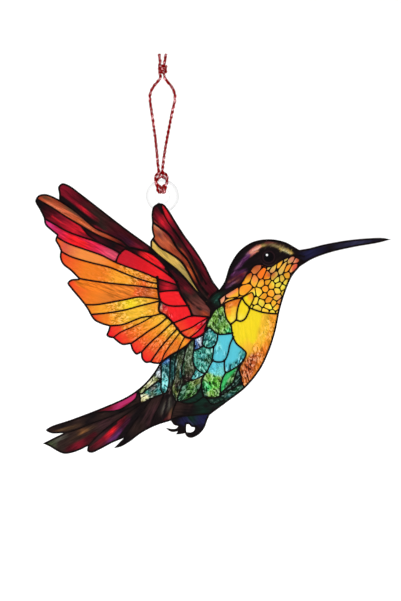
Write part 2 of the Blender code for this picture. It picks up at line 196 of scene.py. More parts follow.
# The picture's colours, as seen
COLOURS = {
    "night": (18, 11, 14), "soot": (44, 29, 26), "umber": (84, 60, 40), "rosewood": (112, 58, 52),
    "plumwood": (56, 32, 36), "tan": (150, 98, 54), "khaki": (170, 145, 80), "bronze": (140, 122, 82),
    "straw": (212, 174, 86), "cream": (214, 212, 158), "slate": (88, 84, 76), "maroon": (66, 12, 22),
    "wine": (122, 18, 36), "crimson": (198, 26, 42), "scarlet": (240, 32, 38), "flame": (238, 66, 36),
    "red": (214, 24, 34), "ember": (238, 96, 36), "brick": (186, 84, 40), "rust": (150, 58, 34),
    "salmon": (200, 94, 60), "peach": (228, 146, 108), "coral": (216, 88, 68), "rose": (212, 74, 100),
    "rosy": (206, 116, 108), "blush": (238, 178, 158), "mauve": (138, 92, 128), "pink": (222, 40, 80),
    "magenta": (190, 46, 104), "grape": (72, 34, 70), "violet": (92, 42, 92), "plum": (56, 18, 38),
    "peachy": (244, 160, 92), "apricot": (241, 140, 64), "orange": (238, 122, 32), "ochre": (226, 122, 40),
    "amber": (246, 158, 42), "gold": (244, 186, 50), "yellow": (243, 214, 34), "lemon": (246, 222, 70),
    "leaf": (114, 168, 66), "lime": (92, 192, 58), "emerald": (52, 184, 94), "moss": (72, 128, 50),
    "olive": (96, 110, 48), "mossy_dark": (66, 76, 48), "fern": (84, 106, 76), "deep_green": (26, 74, 46),
    "pine": (16, 42, 32), "deep_teal": (38, 98, 100), "teal": (54, 150, 146), "sea": (72, 170, 150),
    "aqua": (112, 214, 214), "sky": (88, 197, 214), "blue": (60, 104, 178), "cloud": (200, 214, 230),
    "navy": (28, 28, 64), "ink_blue": (48, 48, 76), "iris": (36, 20, 24), "pupil": (6, 5, 8),
    "glint": (250, 250, 252),
}

# The strokes of colour in each area: finish, reach in millimetres, and points with their colours. A pane
# is coloured by the strokes that lie in it.
PAINT = {
    "near_wing_primaries": [
        (STREAKY, 0.9, [(-39.7, 5, "wine"), (-33, 0, "maroon"), (-26.3, -5.1, "soot"),
         (-16.1, -11.8, "maroon"), (-5.2, -19.4, "maroon")]),
        (STREAKY, 0.8, [(-39.7, 3.8, "wine"), (-35.5, 0.4, "wine"), (-31.3, -3, "crimson"),
         (-27.9, -5.5, "wine"), (-24.6, -8.1, "soot")]),
        (STREAKY, 0.8, [(-40.6, 2.1, "night"), (-34.7, -2.1, "night"), (-28.8, -6.8, "night"),
         (-22.9, -11, "soot")]),
        (STREAKY, 0.7, [(-24.6, -6.8, "soot"), (-17.8, -11.8, "maroon"), (-11.9, -16.1, "plum"),
         (-6.9, -19, "wine")]),
        (STREAKY, 0.6, [(-26.3, -10.2, "wine"), (-21.2, -13.1, "maroon"), (-14.5, -16.9, "plum")]),
        (STREAKY, 1.3, [(-49.9, 1.6, "rust"), (-45.6, -0.3, "salmon"), (-38.9, -4.3, "salmon"),
         (-33, -7.8, "brick"), (-27.1, -11.6, "salmon"), (-21.2, -14.6, "rust"), (-15.3, -17.5, "maroon")]),
        (STREAKY, 0.6, [(-48.2, 2.1, "umber"), (-43.1, 0.4, "rust"), (-37.2, -3, "umber"),
         (-31.3, -7, "rosewood"), (-24.6, -11.8, "maroon")]),
        (STREAKY, 0.4, [(-47.3, 0.2, "peach"), (-42.3, -2.6, "peach"), (-35.5, -6.4, "coral"),
         (-28.8, -10.6, "peach")]),
        (STREAKY, 1.3, [(-49.4, -0.9, "night"), (-45.6, -4.3, "maroon"), (-40.6, -7.6, "wine"),
         (-35.5, -11, "crimson"), (-30.5, -13.5, "wine"), (-26.3, -15.6, "maroon"), (-21.2, -17.7, "plum"),
         (-16.1, -19.9, "plum")]),
        (STREAKY, 0.7, [(-48.6, 0, "maroon"), (-42.3, -4.7, "night"), (-37.2, -8.1, "wine"),
         (-31.3, -11, "night"), (-25.4, -14.2, "maroon"), (-18.7, -17.3, "night"), (-14.5, -19.6, "maroon")]),
        (STREAKY, 0.5, [(-44.8, -5.5, "crimson"), (-40.6, -8.5, "crimson"), (-35.5, -10.6, "crimson"),
         (-31.3, -12.5, "scarlet"), (-27.1, -14.4, "wine")]),
        (STREAKY, 1.3, [(-48.2, -7.2, "magenta"), (-44.8, -9.7, "magenta"), (-41.4, -12.3, "pink"),
         (-36.4, -14.6, "scarlet"), (-31.3, -16.9, "scarlet"), (-25.4, -19.4, "pink"), (-20.4, -21.5, "rose"),
         (-17.8, -22.8, "rose")]),
        (STREAKY, 0.5, [(-45.6, -7.8, "crimson"), (-40.6, -11.2, "crimson"), (-34.7, -14.2, "crimson"),
         (-27.9, -17.1, "pink")]),
        (SMOOTH, 1.3, [(-42.3, -15.6, "ember"), (-38.9, -17.7, "coral"), (-32.2, -20.7, "apricot"),
         (-24.6, -23.4, "apricot"), (-18.7, -25.8, "orange")]),
        (MOTTLED, 1.3, [(-17, -26.2, "orange"), (-11.1, -28.5, "amber"), (-5.2, -31, "ochre"),
         (-1, -32.9, "amber")]),
        (SMOOTH, 1.3, [(-40.6, -22.4, "flame"), (-36.4, -25.3, "ember"), (-30.5, -27.4, "orange"),
         (-25.4, -29.1, "orange")]),
        (MOTTLED, 1.3, [(-22.9, -29.5, "orange"), (-17.8, -30.8, "amber"), (-11.9, -32.3, "amber"),
         (-6, -33.8, "ember"), (-1, -35.2, "amber")]),
        (SMOOTH, 1.3, [(-37.6, -34.2, "flame"), (-33.8, -36.7, "ember"), (-27.9, -39.2, "orange"),
         (-22.9, -40.1, "ochre")]),
        (STREAKY, 1.3, [(-33, -33.8, "orange"), (-26.3, -35.4, "orange"), (-17.8, -37.1, "ochre"),
         (-11.1, -37.1, "ochre")]),
        (MOTTLED, 1.3, [(-9.4, -37.6, "ember"), (-5.2, -37.6, "brick"), (-0.5, -38.8, "orange")]),
    ],
    "near_wing_secondaries": [
        (SMOOTH, 1.3, [(-30.1, -44.3, "orange"), (-24.6, -44.3, "amber")]),
        (MOTTLED, 1.3, [(-19.5, -43.9, "amber"), (-16.1, -43, "gold"), (-11.9, -42.2, "yellow"),
         (-6, -41.3, "gold"), (-1, -40.8, "amber")]),
        (SMOOTH, 1.3, [(-27.5, -48.9, "flame"), (-22.9, -48.9, "orange")]),
        (MOTTLED, 1.3, [(-17.8, -48.3, "amber"), (-12.8, -47, "gold"), (-6.9, -45.1, "gold"),
         (-0.5, -43.9, "amber")]),
        (SMOOTH, 1.3, [(-20.4, -54.4, "scarlet"), (-17, -53.2, "flame")]),
        (MOTTLED, 1.1, [(-14.5, -52.1, "orange"), (-10.2, -50.6, "amber"), (-4.8, -48.8, "gold")]),
        (SMOOTH, 1.3, [(-17.4, -58.2, "scarlet"), (-14.5, -56.9, "flame")]),
        (MOTTLED, 1.3, [(-11.9, -55.3, "ember"), (-8.6, -53.2, "orange"), (-3.5, -50.4, "amber"),
         (1.6, -47.9, "gold")]),
        (SMOOTH, 1.3, [(-10.2, -62.4, "scarlet"), (-8.1, -60.3, "flame")]),
        (MOTTLED, 1.3, [(-6, -58.2, "ember"), (-3.1, -55.9, "orange"), (0.7, -52.7, "amber"),
         (4.5, -49.8, "gold")]),
        (SMOOTH, 1.3, [(-5.6, -66.2, "scarlet"), (-3.9, -63.7, "flame")]),
        (MOTTLED, 1.3, [(-1.8, -61.2, "ember"), (1.6, -57.2, "orange"), (4.9, -53.6, "gold"),
         (6.6, -51.9, "amber")]),
        (MOTTLED, 1.3, [(-1.4, -67.9, "flame"), (1.1, -64.1, "ember"), (4.5, -59.1, "orange"),
         (8.3, -54.2, "gold")]),
        (MOTTLED, 1.3, [(3.2, -65, "ember"), (6.2, -61.6, "ochre"), (7.9, -58.6, "orange"),
         (10, -55.7, "gold")]),
        (MOTTLED, 1.3, [(9.1, -62, "orange"), (11.3, -59.5, "amber"), (13.4, -57.8, "ember")]),
    ],
    "near_wing_coverts": [
        (STREAKY, 1.3, [(-12.3, -19.3, "night"), (-8.6, -20.3, "maroon"), (-5.2, -22, "scarlet"),
         (-1, -24.1, "scarlet"), (2.4, -26.6, "crimson"), (4.9, -30, "wine")]),
        (SMOOTH, 1.3, [(-16.6, -23.2, "crimson"), (-12.8, -23.4, "crimson"), (-6, -26.6, "red"),
         (0.7, -30, "scarlet"), (5.8, -32.9, "crimson")]),
        (STREAKY, 1.3, [(0.3, -34.2, "maroon"), (4.1, -35, "crimson"), (7.5, -35.9, "maroon")]),
        (SMOOTH, 1.3, [(1.1, -39.2, "scarlet"), (4.9, -39.7, "scarlet"), (10, -40.9, "scarlet")]),
        (MOTTLED, 0.5, [(0.9, -42.6, "slate"), (1.3, -45.1, "salmon")]),
        (MOTTLED, 0.8, [(2.8, -44.3, "crimson"), (3.2, -46.4, "flame"), (4.9, -47.7, "scarlet")]),
        (SMOOTH, 1.4, [(5.8, -44.7, "scarlet"), (9.1, -45.6, "scarlet"), (12.5, -46, "scarlet"),
         (7.5, -48.5, "scarlet")]),
        (SMOOTH, 1.3, [(8.3, -51.9, "flame"), (12.5, -49.8, "scarlet"), (18.4, -48.9, "scarlet")]),
        (MOTTLED, 1.3, [(11.3, -55.3, "flame"), (13.4, -53.8, "ember"), (15.9, -51.9, "scarlet"),
         (18.8, -49.8, "crimson")]),
        (SMOOTH, 1.3, [(15, -56.1, "scarlet"), (18.8, -54, "crimson"), (20.9, -49.8, "crimson")]),
        (STREAKY, 1, [(-2.7, -20.7, "night"), (2.4, -24.9, "night"), (7.5, -29.5, "night"),
         (11.7, -33.8, "maroon")]),
        (STREAKY, 1.3, [(5.8, -29.1, "maroon"), (9.6, -35, "maroon"), (12.5, -39.2, "soot"),
         (15.9, -43.5, "rosewood")]),
        (STREAKY, 0.7, [(10.8, -35.9, "wine"), (15, -39.2, "soot"), (19.3, -43.5, "rosewood"),
         (20.9, -45.1, "rosewood")]),
        (STREAKY, 0.6, [(10.8, -38.4, "night"), (14.2, -42.2, "night"), (17.6, -45.1, "soot")]),
        (STREAKY, 0.5, [(12.5, -42.6, "rust"), (15, -44.9, "rosewood"), (20.1, -46.7, "rust")]),
    ],
    "far_wing": [
        (STREAKY, 0.7, [(-1.8, 0, "night"), (0.3, -1.3, "night"), (1.6, -3.8, "night")]),
        (STREAKY, 0.4, [(-1.8, 0.8, "night"), (0.7, 1.2, "night"), (3.2, -0.5, "night")]),
        (STREAKY, 1.3, [(-1.6, -3.4, "maroon"), (-0.5, -5.9, "wine"), (1.1, -8.5, "crimson"),
         (3.7, -11.7, "wine"), (7.5, -16.5, "maroon")]),
        (STREAKY, 0.6, [(-1.8, -6.4, "maroon"), (1.6, -9.7, "night"), (5.8, -14.4, "night"),
         (9.1, -18.6, "soot")]),
        (SMOOTH, 0.5, [(2.1, -1.6, "crimson"), (3.2, -3.6, "red"), (4.3, -5.9, "crimson"),
         (5.9, -8.6, "wine"), (8.3, -12.5, "maroon")]),
        (STREAKY, 1.1, [(4.3, -1.7, "night"), (5.8, -4.5, "maroon"), (8.3, -8.9, "maroon"),
         (10.8, -13.1, "maroon"), (12.5, -18.6, "wine"), (15.9, -24.9, "maroon"), (20.1, -33.3, "maroon"),
         (22.2, -38.4, "maroon")]),
        (STREAKY, 0.8, [(6.6, -11.4, "night"), (10.8, -18.2, "maroon"), (14.6, -24.9, "night"),
         (18.4, -32.5, "night")]),
        (STREAKY, 0.5, [(10, -11.4, "wine"), (13.4, -16.9, "maroon"), (17.6, -24.9, "wine"),
         (20.9, -32.5, "maroon")]),
        (STREAKY, 1.3, [(-2, -11, "salmon"), (0.7, -13.1, "rosewood"), (4.1, -16.5, "salmon"),
         (7.5, -19.9, "rust"), (10.8, -23.6, "rust"), (13.4, -28.3, "brick"), (16.3, -34.2, "maroon"),
         (19.3, -38.8, "soot")]),
        (STREAKY, 0.7, [(-1.4, -9.7, "peach"), (2.4, -14, "rust"), (6.2, -18.2, "umber"),
         (10, -22.8, "maroon"), (13.4, -27.4, "maroon")]),
        (STREAKY, 0.5, [(-1.8, -13.1, "brick"), (1.6, -16.1, "salmon"), (5.4, -19.4, "rust"),
         (9.1, -23.6, "salmon"), (11.7, -27, "maroon")]),
        (STREAKY, 1.3, [(-2.5, -17.3, "straw"), (-0.1, -19.9, "straw"), (3.2, -22.4, "straw"),
         (6.6, -24.9, "straw"), (10.4, -28.7, "khaki"), (13.8, -33.3, "khaki"), (17.6, -38.4, "straw"),
         (20.9, -42.2, "umber")]),
    ],
    "head": [
        (STREAKY, 1.1, [(26.8, -36.7, "night"), (28.5, -31.7, "night"), (31.5, -26.6, "night"),
         (35.7, -21.5, "night"), (40.3, -17.7, "night"), (46.2, -15.5, "night"), (53, -16.9, "night"),
         (58, -20.3, "night")]),
        (STREAKY, 0.8, [(30.6, -32.1, "plum"), (33.2, -27.9, "grape"), (36.1, -24.1, "grape"),
         (38.2, -22.2, "violet")]),
        (STREAKY, 0.4, [(31.1, -30.4, "violet"), (33.6, -27, "mauve"), (36.1, -23.5, "violet"),
         (37.8, -21.5, "mauve")]),
        (STREAKY, 0.5, [(37.4, -21.8, "mauve"), (39.1, -20, "rosy"), (40.8, -18.8, "rosy"),
         (42.9, -18.1, "peach")]),
        (STREAKY, 0.5, [(38.7, -20.9, "peach"), (40.3, -19.7, "blush"), (42.4, -18.8, "blush")]),
        (STREAKY, 0.4, [(38.7, -22.8, "rosewood"), (40.3, -21.1, "rosy"), (41.9, -20.2, "peach")]),
        (STREAKY, 0.5, [(43.7, -18, "khaki"), (46.2, -17.5, "umber"), (49.2, -17.9, "bronze"),
         (53, -19.4, "bronze"), (55.9, -21.1, "straw")]),
        (STREAKY, 0.4, [(45, -16.9, "rosewood"), (47.5, -16.6, "rosewood"), (50, -17.2, "umber"),
         (53.8, -18.6, "soot")]),
        (STREAKY, 0.3, [(51.3, -19.3, "straw"), (53.4, -20.2, "cream"), (55.5, -21.2, "cream")]),
        (STREAKY, 1.1, [(36.1, -26.6, "night"), (38.7, -23.6, "night"), (41.6, -21.5, "night"),
         (43.7, -19.7, "night"), (47.1, -19.3, "night"), (51.7, -21.1, "night"), (56.4, -22.8, "night")]),
        (STREAKY, 0.5, [(29.8, -30, "night"), (33.6, -28.1, "night"), (37.8, -26.4, "night"),
         (42, -24.5, "night")]),
        (STREAKY, 0.8, [(29.4, -34.6, "plum"), (32.8, -31.5, "plum"), (35.7, -29, "grape"),
         (37.8, -27.9, "night")]),
        (STREAKY, 0.5, [(29.8, -33.3, "rosewood"), (32.3, -31.7, "rosewood"), (34.9, -30.1, "wine"),
         (36.5, -29.3, "rosewood")]),
        (STREAKY, 0.3, [(28.5, -35.9, "grape"), (30.6, -34.6, "mauve"), (33.2, -32.8, "rosewood"),
         (34.9, -31.2, "plum")]),
        (STREAKY, 1, [(22.6, -43, "night"), (25.2, -39.7, "pine"), (28.5, -37.1, "night"),
         (31.9, -35, "night")]),
        (HAMMERED, 0.4, [(23.5, -42.2, "pine"), (24.7, -40.5, "sea"), (26, -38.8, "pine")]),
        (STREAKY, 0.9, [(58.5, -22.4, "night"), (63.1, -19.9, "navy"), (72.4, -18.2, "night"),
         (83.3, -16.5, "ink_blue"), (96.8, -15, "night")]),
        (STREAKY, 0.4, [(60.6, -20.7, "night"), (65.6, -19, "slate"), (72.4, -17.6, "ink_blue"),
         (80.8, -16.3, "night")]),
    ],
    "throat": [
        (SMOOTH, 1, [(27.3, -39.7, "peach"), (29.8, -38.2, "peach"), (33.2, -36.1, "apricot")]),
        (SMOOTH, 1.3, [(31.1, -40.3, "gold"), (34.4, -38.7, "gold"), (37, -36.7, "amber")]),
        (SMOOTH, 1.3, [(35.7, -34.2, "amber"), (38.2, -32.9, "gold"), (37.8, -30.2, "brick")]),
        (SMOOTH, 1.1, [(40.3, -32.1, "apricot"), (41.2, -27.4, "brick"), (42, -26, "salmon")]),
        (SMOOTH, 1.4, [(37.4, -40.1, "yellow"), (40.3, -39.2, "lemon"), (42, -43, "lemon"),
         (45.4, -44.7, "gold")]),
        (SMOOTH, 1.3, [(39.5, -35.4, "amber"), (42, -35.4, "gold"), (44.6, -35, "amber")]),
        (SMOOTH, 1.3, [(43.7, -38.8, "gold"), (46.2, -40.1, "amber"), (48.8, -41.8, "gold")]),
        (SMOOTH, 1.1, [(44.1, -28.3, "orange"), (44.6, -31.2, "orange"), (46.2, -33.3, "gold")]),
        (SMOOTH, 1, [(47.1, -27.4, "straw"), (47.5, -30.4, "salmon"), (48.8, -33.3, "lemon")]),
        (SMOOTH, 1.1, [(50.5, -25.8, "gold"), (51.3, -29.1, "straw"), (52.1, -34.2, "lemon"),
         (52.1, -38.4, "gold")]),
        (SMOOTH, 1.1, [(47.9, -44.3, "lemon"), (50.5, -43.5, "amber"), (51.7, -40.1, "peachy")]),
        (SMOOTH, 1, [(53.8, -24.9, "straw"), (54.7, -27.4, "amber"), (54.2, -30.8, "gold"),
         (55.5, -29.1, "peachy")]),
        (SMOOTH, 0.8, [(55.9, -23.4, "peach"), (58.5, -23.2, "salmon"), (60.1, -24.1, "brick"),
         (58.9, -26.6, "coral"), (57.2, -28.3, "coral")]),
    ],
    "breast": [
        (SMOOTH, 2.1, [(36.1, -46, "yellow"), (34.4, -51.9, "yellow"), (36.1, -56.9, "yellow"),
         (38.2, -60.3, "gold")]),
        (SMOOTH, 1.7, [(42, -47.7, "yellow"), (38.7, -53.6, "yellow"), (39.5, -57.8, "yellow")]),
        (MOTTLED, 1.4, [(48.8, -48.1, "amber"), (48.8, -52.7, "amber"), (46.7, -57.8, "amber"),
         (45.4, -62, "orange")]),
        (MOTTLED, 1.3, [(44.6, -48.5, "gold"), (45, -52.7, "gold"), (43.3, -57.4, "gold"),
         (40.8, -61.2, "amber")]),
        (HAMMERED, 1.3, [(43.7, -63.7, "ochre"), (40.3, -65, "brick"), (38.7, -67.9, "brick"),
         (38.2, -73, "brick"), (37, -78, "ochre")]),
        (MOTTLED, 0.9, [(45.8, -62.8, "orange"), (43.3, -67.9, "orange"), (40.8, -72.1, "ochre"),
         (38.2, -75.5, "ochre")]),
        (MOTTLED, 1, [(28.5, -43.5, "ochre"), (30.6, -42.4, "ochre"), (32.8, -42.2, "orange")]),
        (SMOOTH, 1.3, [(29.4, -46.4, "amber"), (29.8, -48.9, "yellow"), (31.1, -49.8, "lemon"),
         (32.3, -45.6, "gold")]),
        (SMOOTH, 1.3, [(35.7, -42.6, "yellow"), (35.3, -46, "yellow"), (34.4, -48.5, "lemon")]),
        (SMOOTH, 1.3, [(37, -40.1, "yellow"), (38.7, -39.7, "amber"), (38.2, -42.2, "yellow")]),
    ],
    "body": [
        (HAMMERED, 1.1, [(23.1, -46.8, "leaf"), (25.2, -44.7, "moss"), (26.8, -43.5, "leaf"),
         (24.3, -50.2, "leaf")]),
        (HAMMERED, 0.9, [(25.2, -46, "deep_green"), (26, -48.1, "deep_green"), (24.7, -51.9, "moss")]),
        (HAMMERED, 1.1, [(26.8, -50.2, "moss"), (28.1, -52.3, "leaf"), (29.4, -54, "emerald"),
         (26.8, -54, "leaf")]),
        (HAMMERED, 1.3, [(20.5, -54, "deep_teal"), (22.6, -55.3, "teal"), (20.9, -58.6, "sea"),
         (23.1, -59.5, "teal"), (19.7, -56.9, "deep_teal")]),
        (SMOOTH, 1.3, [(26, -56.5, "sky"), (29.4, -56.1, "sky"), (27.7, -60.3, "sky"), (25.6, -65, "sky")]),
        (MOTTLED, 0.7, [(24.3, -62.8, "sky"), (25.2, -59.9, "aqua"), (27.7, -63.3, "sky")]),
        (SMOOTH, 1.3, [(31.9, -58.2, "sky"), (32.8, -61.2, "sky"), (31.1, -65.4, "sky")]),
        (HAMMERED, 0.8, [(35.3, -63.7, "teal"), (34.4, -66.2, "sky"), (31.9, -68.3, "teal"),
         (29.4, -69.6, "sky")]),
        (HAMMERED, 1.3, [(16.7, -63.3, "sea"), (18.4, -65.4, "teal"), (17.2, -68.3, "sea"),
         (19.3, -70, "sea")]),
        (HAMMERED, 0.9, [(20.9, -62.8, "sea"), (21.4, -66.2, "deep_green"), (17.6, -65.8, "deep_green"),
         (15.9, -64.5, "sea")]),
        (HAMMERED, 1, [(15.9, -59.1, "blue"), (17.6, -58.2, "cloud"), (17.2, -60.3, "navy"),
         (16.1, -61.2, "blue")]),
        (HAMMERED, 1.3, [(15.9, -71.7, "teal"), (17.2, -72.5, "aqua"), (14.6, -73.8, "teal")]),
        (MOTTLED, 1.3, [(24.7, -67.9, "sky"), (23.5, -70, "sky"), (26, -71.3, "aqua")]),
        (HAMMERED, 1.1, [(21.4, -73.4, "leaf"), (23.5, -74.6, "lime"), (25.6, -74.2, "leaf")]),
        (HAMMERED, 1.3, [(20.9, -78, "emerald"), (23.5, -77.2, "lime"), (22.2, -80.5, "leaf"),
         (24.7, -79.7, "moss")]),
        (MOTTLED, 1, [(31.9, -70.4, "emerald"), (29.8, -72.1, "emerald"), (28.1, -74.6, "emerald"),
         (26.8, -78, "emerald")]),
        (HAMMERED, 1, [(32.8, -71, "deep_green"), (31.1, -73.8, "moss"), (28.5, -77.2, "deep_green")]),
        (HAMMERED, 1.1, [(15.9, -75.5, "olive"), (13.8, -77.6, "moss"), (10.8, -80.1, "deep_green")]),
        (HAMMERED, 1.1, [(11.7, -77.2, "deep_green"), (10, -81.4, "deep_green"), (13.4, -81, "moss"),
         (16.7, -77.6, "deep_green")]),
        (RIPPLED, 1.1, [(13.4, -61.2, "fern"), (12.5, -65.4, "fern"), (11.7, -69.6, "mossy_dark"),
         (12.1, -73.8, "soot")]),
        (HAMMERED, 0.5, [(11.7, -63.7, "fern"), (10.8, -67.9, "deep_green"), (10.8, -73, "pine")]),
        (RIPPLED, 0.9, [(10.8, -62, "pine"), (9.1, -67.1, "mossy_dark"), (8.3, -72.1, "mossy_dark"),
         (7.5, -77.2, "soot")]),
        (HAMMERED, 0.5, [(10, -68.7, "deep_teal"), (9.6, -71.3, "teal"), (9.1, -73.8, "pine")]),
        (RIPPLED, 0.8, [(6.2, -65.4, "pine"), (6, -70.4, "deep_teal"), (5.4, -75.5, "pine"),
         (4.9, -78.9, "soot")]),
        (HAMMERED, 0.5, [(7, -67.1, "deep_teal"), (6.6, -72.1, "deep_teal"), (6.2, -76.3, "olive"),
         (6.6, -81.4, "pine")]),
        (RIPPLED, 0.7, [(2.8, -66.2, "blue"), (3.2, -68.7, "deep_teal"), (3.7, -72.1, "deep_teal")]),
        (HAMMERED, 0.8, [(2.1, -70.4, "deep_teal"), (2.4, -73.8, "aqua"), (2.4, -77.2, "aqua"),
         (2.7, -79.3, "teal")]),
        (HAMMERED, 1, [(8.3, -78, "pine"), (7.5, -80.1, "olive"), (9.1, -81.8, "pine")]),
        (RIPPLED, 1, [(-0.1, -68.7, "blue"), (-1.6, -70.9, "blue"), (-3.1, -73.4, "cloud"),
         (-5.2, -75.9, "cream"), (-7.3, -78.4, "khaki")]),
        (HAMMERED, 0.6, [(-0.1, -70.9, "cloud"), (-1.8, -73.4, "olive"), (-3.9, -75.5, "cream"),
         (-6.4, -78, "olive")]),
        (HAMMERED, 1, [(0.1, -76.8, "deep_teal"), (-1.8, -78, "slate"), (-4.3, -80.1, "deep_teal")]),
        (HAMMERED, 0.8, [(-5.2, -81.4, "cream"), (-6.9, -82.7, "cream"), (-7.5, -83.8, "khaki")]),
        (HAMMERED, 0.7, [(-0.5, -78.9, "teal"), (-2.7, -80.1, "fern"), (-5.2, -79.7, "sea")]),
        (HAMMERED, 0.8, [(33.2, -72.1, "pine"), (31.5, -75.9, "pine"), (29, -78, "pine")]),
        (HAMMERED, 0.9, [(19.3, -78.9, "pine"), (18.4, -81, "deep_green"), (20.1, -81.4, "pine")]),
    ],
    "belly": [
        (STREAKY, 1.3, [(9.1, -85.2, "soot"), (14.2, -86.9, "night"), (19.3, -87.7, "pine"),
         (23.5, -86.9, "night"), (27.7, -85.2, "pine")]),
        (STREAKY, 0.7, [(10.8, -84.8, "soot"), (11.7, -88.1, "night"), (13.4, -85.6, "soot")]),
        (STREAKY, 0.7, [(16.3, -84.3, "pine"), (18.8, -83.5, "pine"), (20.9, -83.1, "pine"),
         (20.1, -85.6, "night")]),
        (MOTTLED, 1, [(23.5, -84.3, "pine"), (26.8, -83.5, "pine"), (30.2, -82.2, "pine"),
         (26.8, -86, "night")]),
        (HAMMERED, 1.1, [(27.7, -80.8, "pine"), (31.1, -79.3, "deep_green"), (34.4, -77.2, "deep_green")]),
        (RIPPLED, 0.7, [(29.4, -81.4, "deep_teal"), (32.8, -78.9, "deep_green"), (35.7, -77.2, "pine")]),
        (HAMMERED, 0.8, [(29.4, -83.3, "night"), (33.6, -81, "pine"), (37, -78.4, "night")]),
    ],
    "tail": [
        (SMOOTH, 0.8, [(-9.2, -80.8, "magenta"), (-11.9, -82.4, "magenta"), (-16.1, -84.6, "magenta"),
         (-20.4, -86.4, "wine"), (-25.4, -88, "maroon")]),
        (STREAKY, 0.4, [(-10.7, -83.3, "magenta"), (-13.6, -85.4, "wine"), (-17.8, -86.9, "magenta"),
         (-22.9, -88.1, "wine")]),
        (STREAKY, 1.3, [(-27.9, -89.8, "night"), (-33.8, -91.9, "soot"), (-40.6, -93.9, "night"),
         (-45.6, -95.3, "soot")]),
        (STREAKY, 0.4, [(-31.3, -92.8, "soot"), (-37.2, -94.6, "umber"), (-42.3, -96, "umber"),
         (-45.6, -96.7, "soot")]),
        (STREAKY, 1.3, [(-10.7, -84.8, "soot"), (-16.1, -88, "night"), (-22.9, -90.2, "soot"),
         (-29.6, -92.8, "night")]),
        (STREAKY, 1.1, [(-10.2, -85, "night"), (-16.1, -89, "soot"), (-22.9, -92.8, "plumwood"),
         (-28.8, -96.1, "soot"), (-33.8, -98.3, "soot"), (-41.4, -100.8, "soot")]),
        (STREAKY, 0.6, [(-25.4, -93.8, "soot"), (-28.8, -95.5, "umber"), (-31.7, -96.8, "tan"),
         (-34.3, -98.4, "umber"), (-38.9, -100.4, "soot")]),
        (STREAKY, 0.8, [(-37.2, -97.8, "soot"), (-41.4, -99.5, "slate"), (-45.6, -101.5, "mossy_dark")]),
        (STREAKY, 0.6, [(-27.1, -97.2, "maroon"), (-30.5, -99.8, "maroon"), (-33.8, -101.9, "wine"),
         (-37.2, -103.7, "maroon")]),
        (STREAKY, 0.8, [(-7.7, -84.8, "night"), (-12.8, -88.7, "soot"), (-19.5, -93.6, "night"),
         (-25.4, -98.5, "plumwood"), (-28.8, -101.6, "soot")]),
        (STREAKY, 0.5, [(-8.3, -84.1, "wine"), (-11.1, -86.9, "maroon"), (-14, -89.7, "wine"),
         (-17, -92.4, "wine")]),
        (STREAKY, 0.4, [(-14.5, -91.5, "maroon"), (-17.4, -94, "wine"), (-19.5, -96, "scarlet"),
         (-21.2, -97.7, "crimson"), (-23.3, -99.3, "wine"), (-28.4, -103.1, "maroon")]),
        (STREAKY, 0.8, [(-5.2, -83.9, "night"), (-9.4, -89.4, "night"), (-13.6, -94.9, "night"),
         (-17, -99.1, "night")]),
        (STREAKY, 0.6, [(-12.3, -91.5, "plum"), (-14.9, -95, "plum"), (-16.6, -97.2, "violet"),
         (-18.8, -100.2, "violet")]),
        (STREAKY, 1.1, [(-4.3, -84.8, "soot"), (-6.9, -89.8, "night"), (-10.2, -94.9, "soot"),
         (-13.2, -98.7, "night")]),
        (STREAKY, 0.4, [(-2.7, -83.9, "soot"), (-4.8, -88.6, "plumwood"), (-7.3, -93.2, "soot")]),
        (STREAKY, 0.9, [(0.7, -82.5, "soot"), (-0.5, -86.4, "plumwood"), (-2.2, -91.5, "night")]),
        (STREAKY, 0.4, [(-0.5, -82.9, "soot"), (-1.8, -87.3, "plumwood"), (-3.9, -92.8, "plumwood")]),
        (STREAKY, 0.8, [(4.1, -81.8, "night"), (3.2, -86, "night"), (2, -90.7, "night")]),
        (STREAKY, 0.3, [(3.2, -82.7, "soot"), (2.4, -86.4, "slate"), (1.1, -89.8, "soot")]),
        (STREAKY, 0.3, [(4.8, -82.2, "slate"), (4.3, -85.6, "slate"), (3.2, -88.6, "soot")]),
        (STREAKY, 0.4, [(5.8, -88.1, "umber"), (4.5, -90.5, "rosewood"), (2.8, -91.5, "maroon")]),
    ],
    "claws": [
        (STREAKY, 1, [(7.9, -91.1, "night"), (10.8, -92.4, "navy"), (10, -94.5, "night"),
         (11.7, -95.7, "night")]),
        (STREAKY, 1, [(14.2, -90.2, "pine"), (17.6, -90.7, "navy"), (20.1, -92.8, "navy"),
         (18.4, -95.7, "night"), (15, -98.3, "night")]),
        (STREAKY, 0.4, [(11.7, -91.1, "navy"), (13.4, -93.2, "ink_blue"), (12.9, -95.3, "navy")]),
    ],
}
STROKES = [(area_name, *stroke) for area_name, strokes in PAINT.items() for stroke in strokes]

# The eye: the centre, radius and colour of each of its rings, and how streaky they are
EYE = (46.5, -22.8)
GLINT = (EYE[0] - 0.75, EYE[1] + 0.85)
EYE_RINGS = [(EYE, 3.3, "night"), (EYE, 2.75, "iris"), (EYE, 2.15, "pupil"), (GLINT, 0.48, "glint")]
EYE_STREAK = 0.2

# How a line spreads at its ends, and over which length
END_SPREAD = 0.45
END_LENGTH = 1.3

# Turns of a line, in radians: one that needs a round cell, and one that all but runs back
SHARP_TURN = 0.3
BACK_TURN = 2.8

# The least gap between points of an outline, which is also how near the ring's edge a point counts as on it
NEAR = 0.02

# The throat's small scales, in millimetres: half the gap between them, how close they may stand in shares of
# their size, how many places are tried and in which field, and the field whose scales are kept
SCALE_GAP = 0.24
SCALE_CLOSENESS = 0.93
SCALE_TRIES = 9000
TRIED_FIELD = ((22, 63), (-50, -19))
KEPT_FIELD = ((24, 61), (-49, -20))

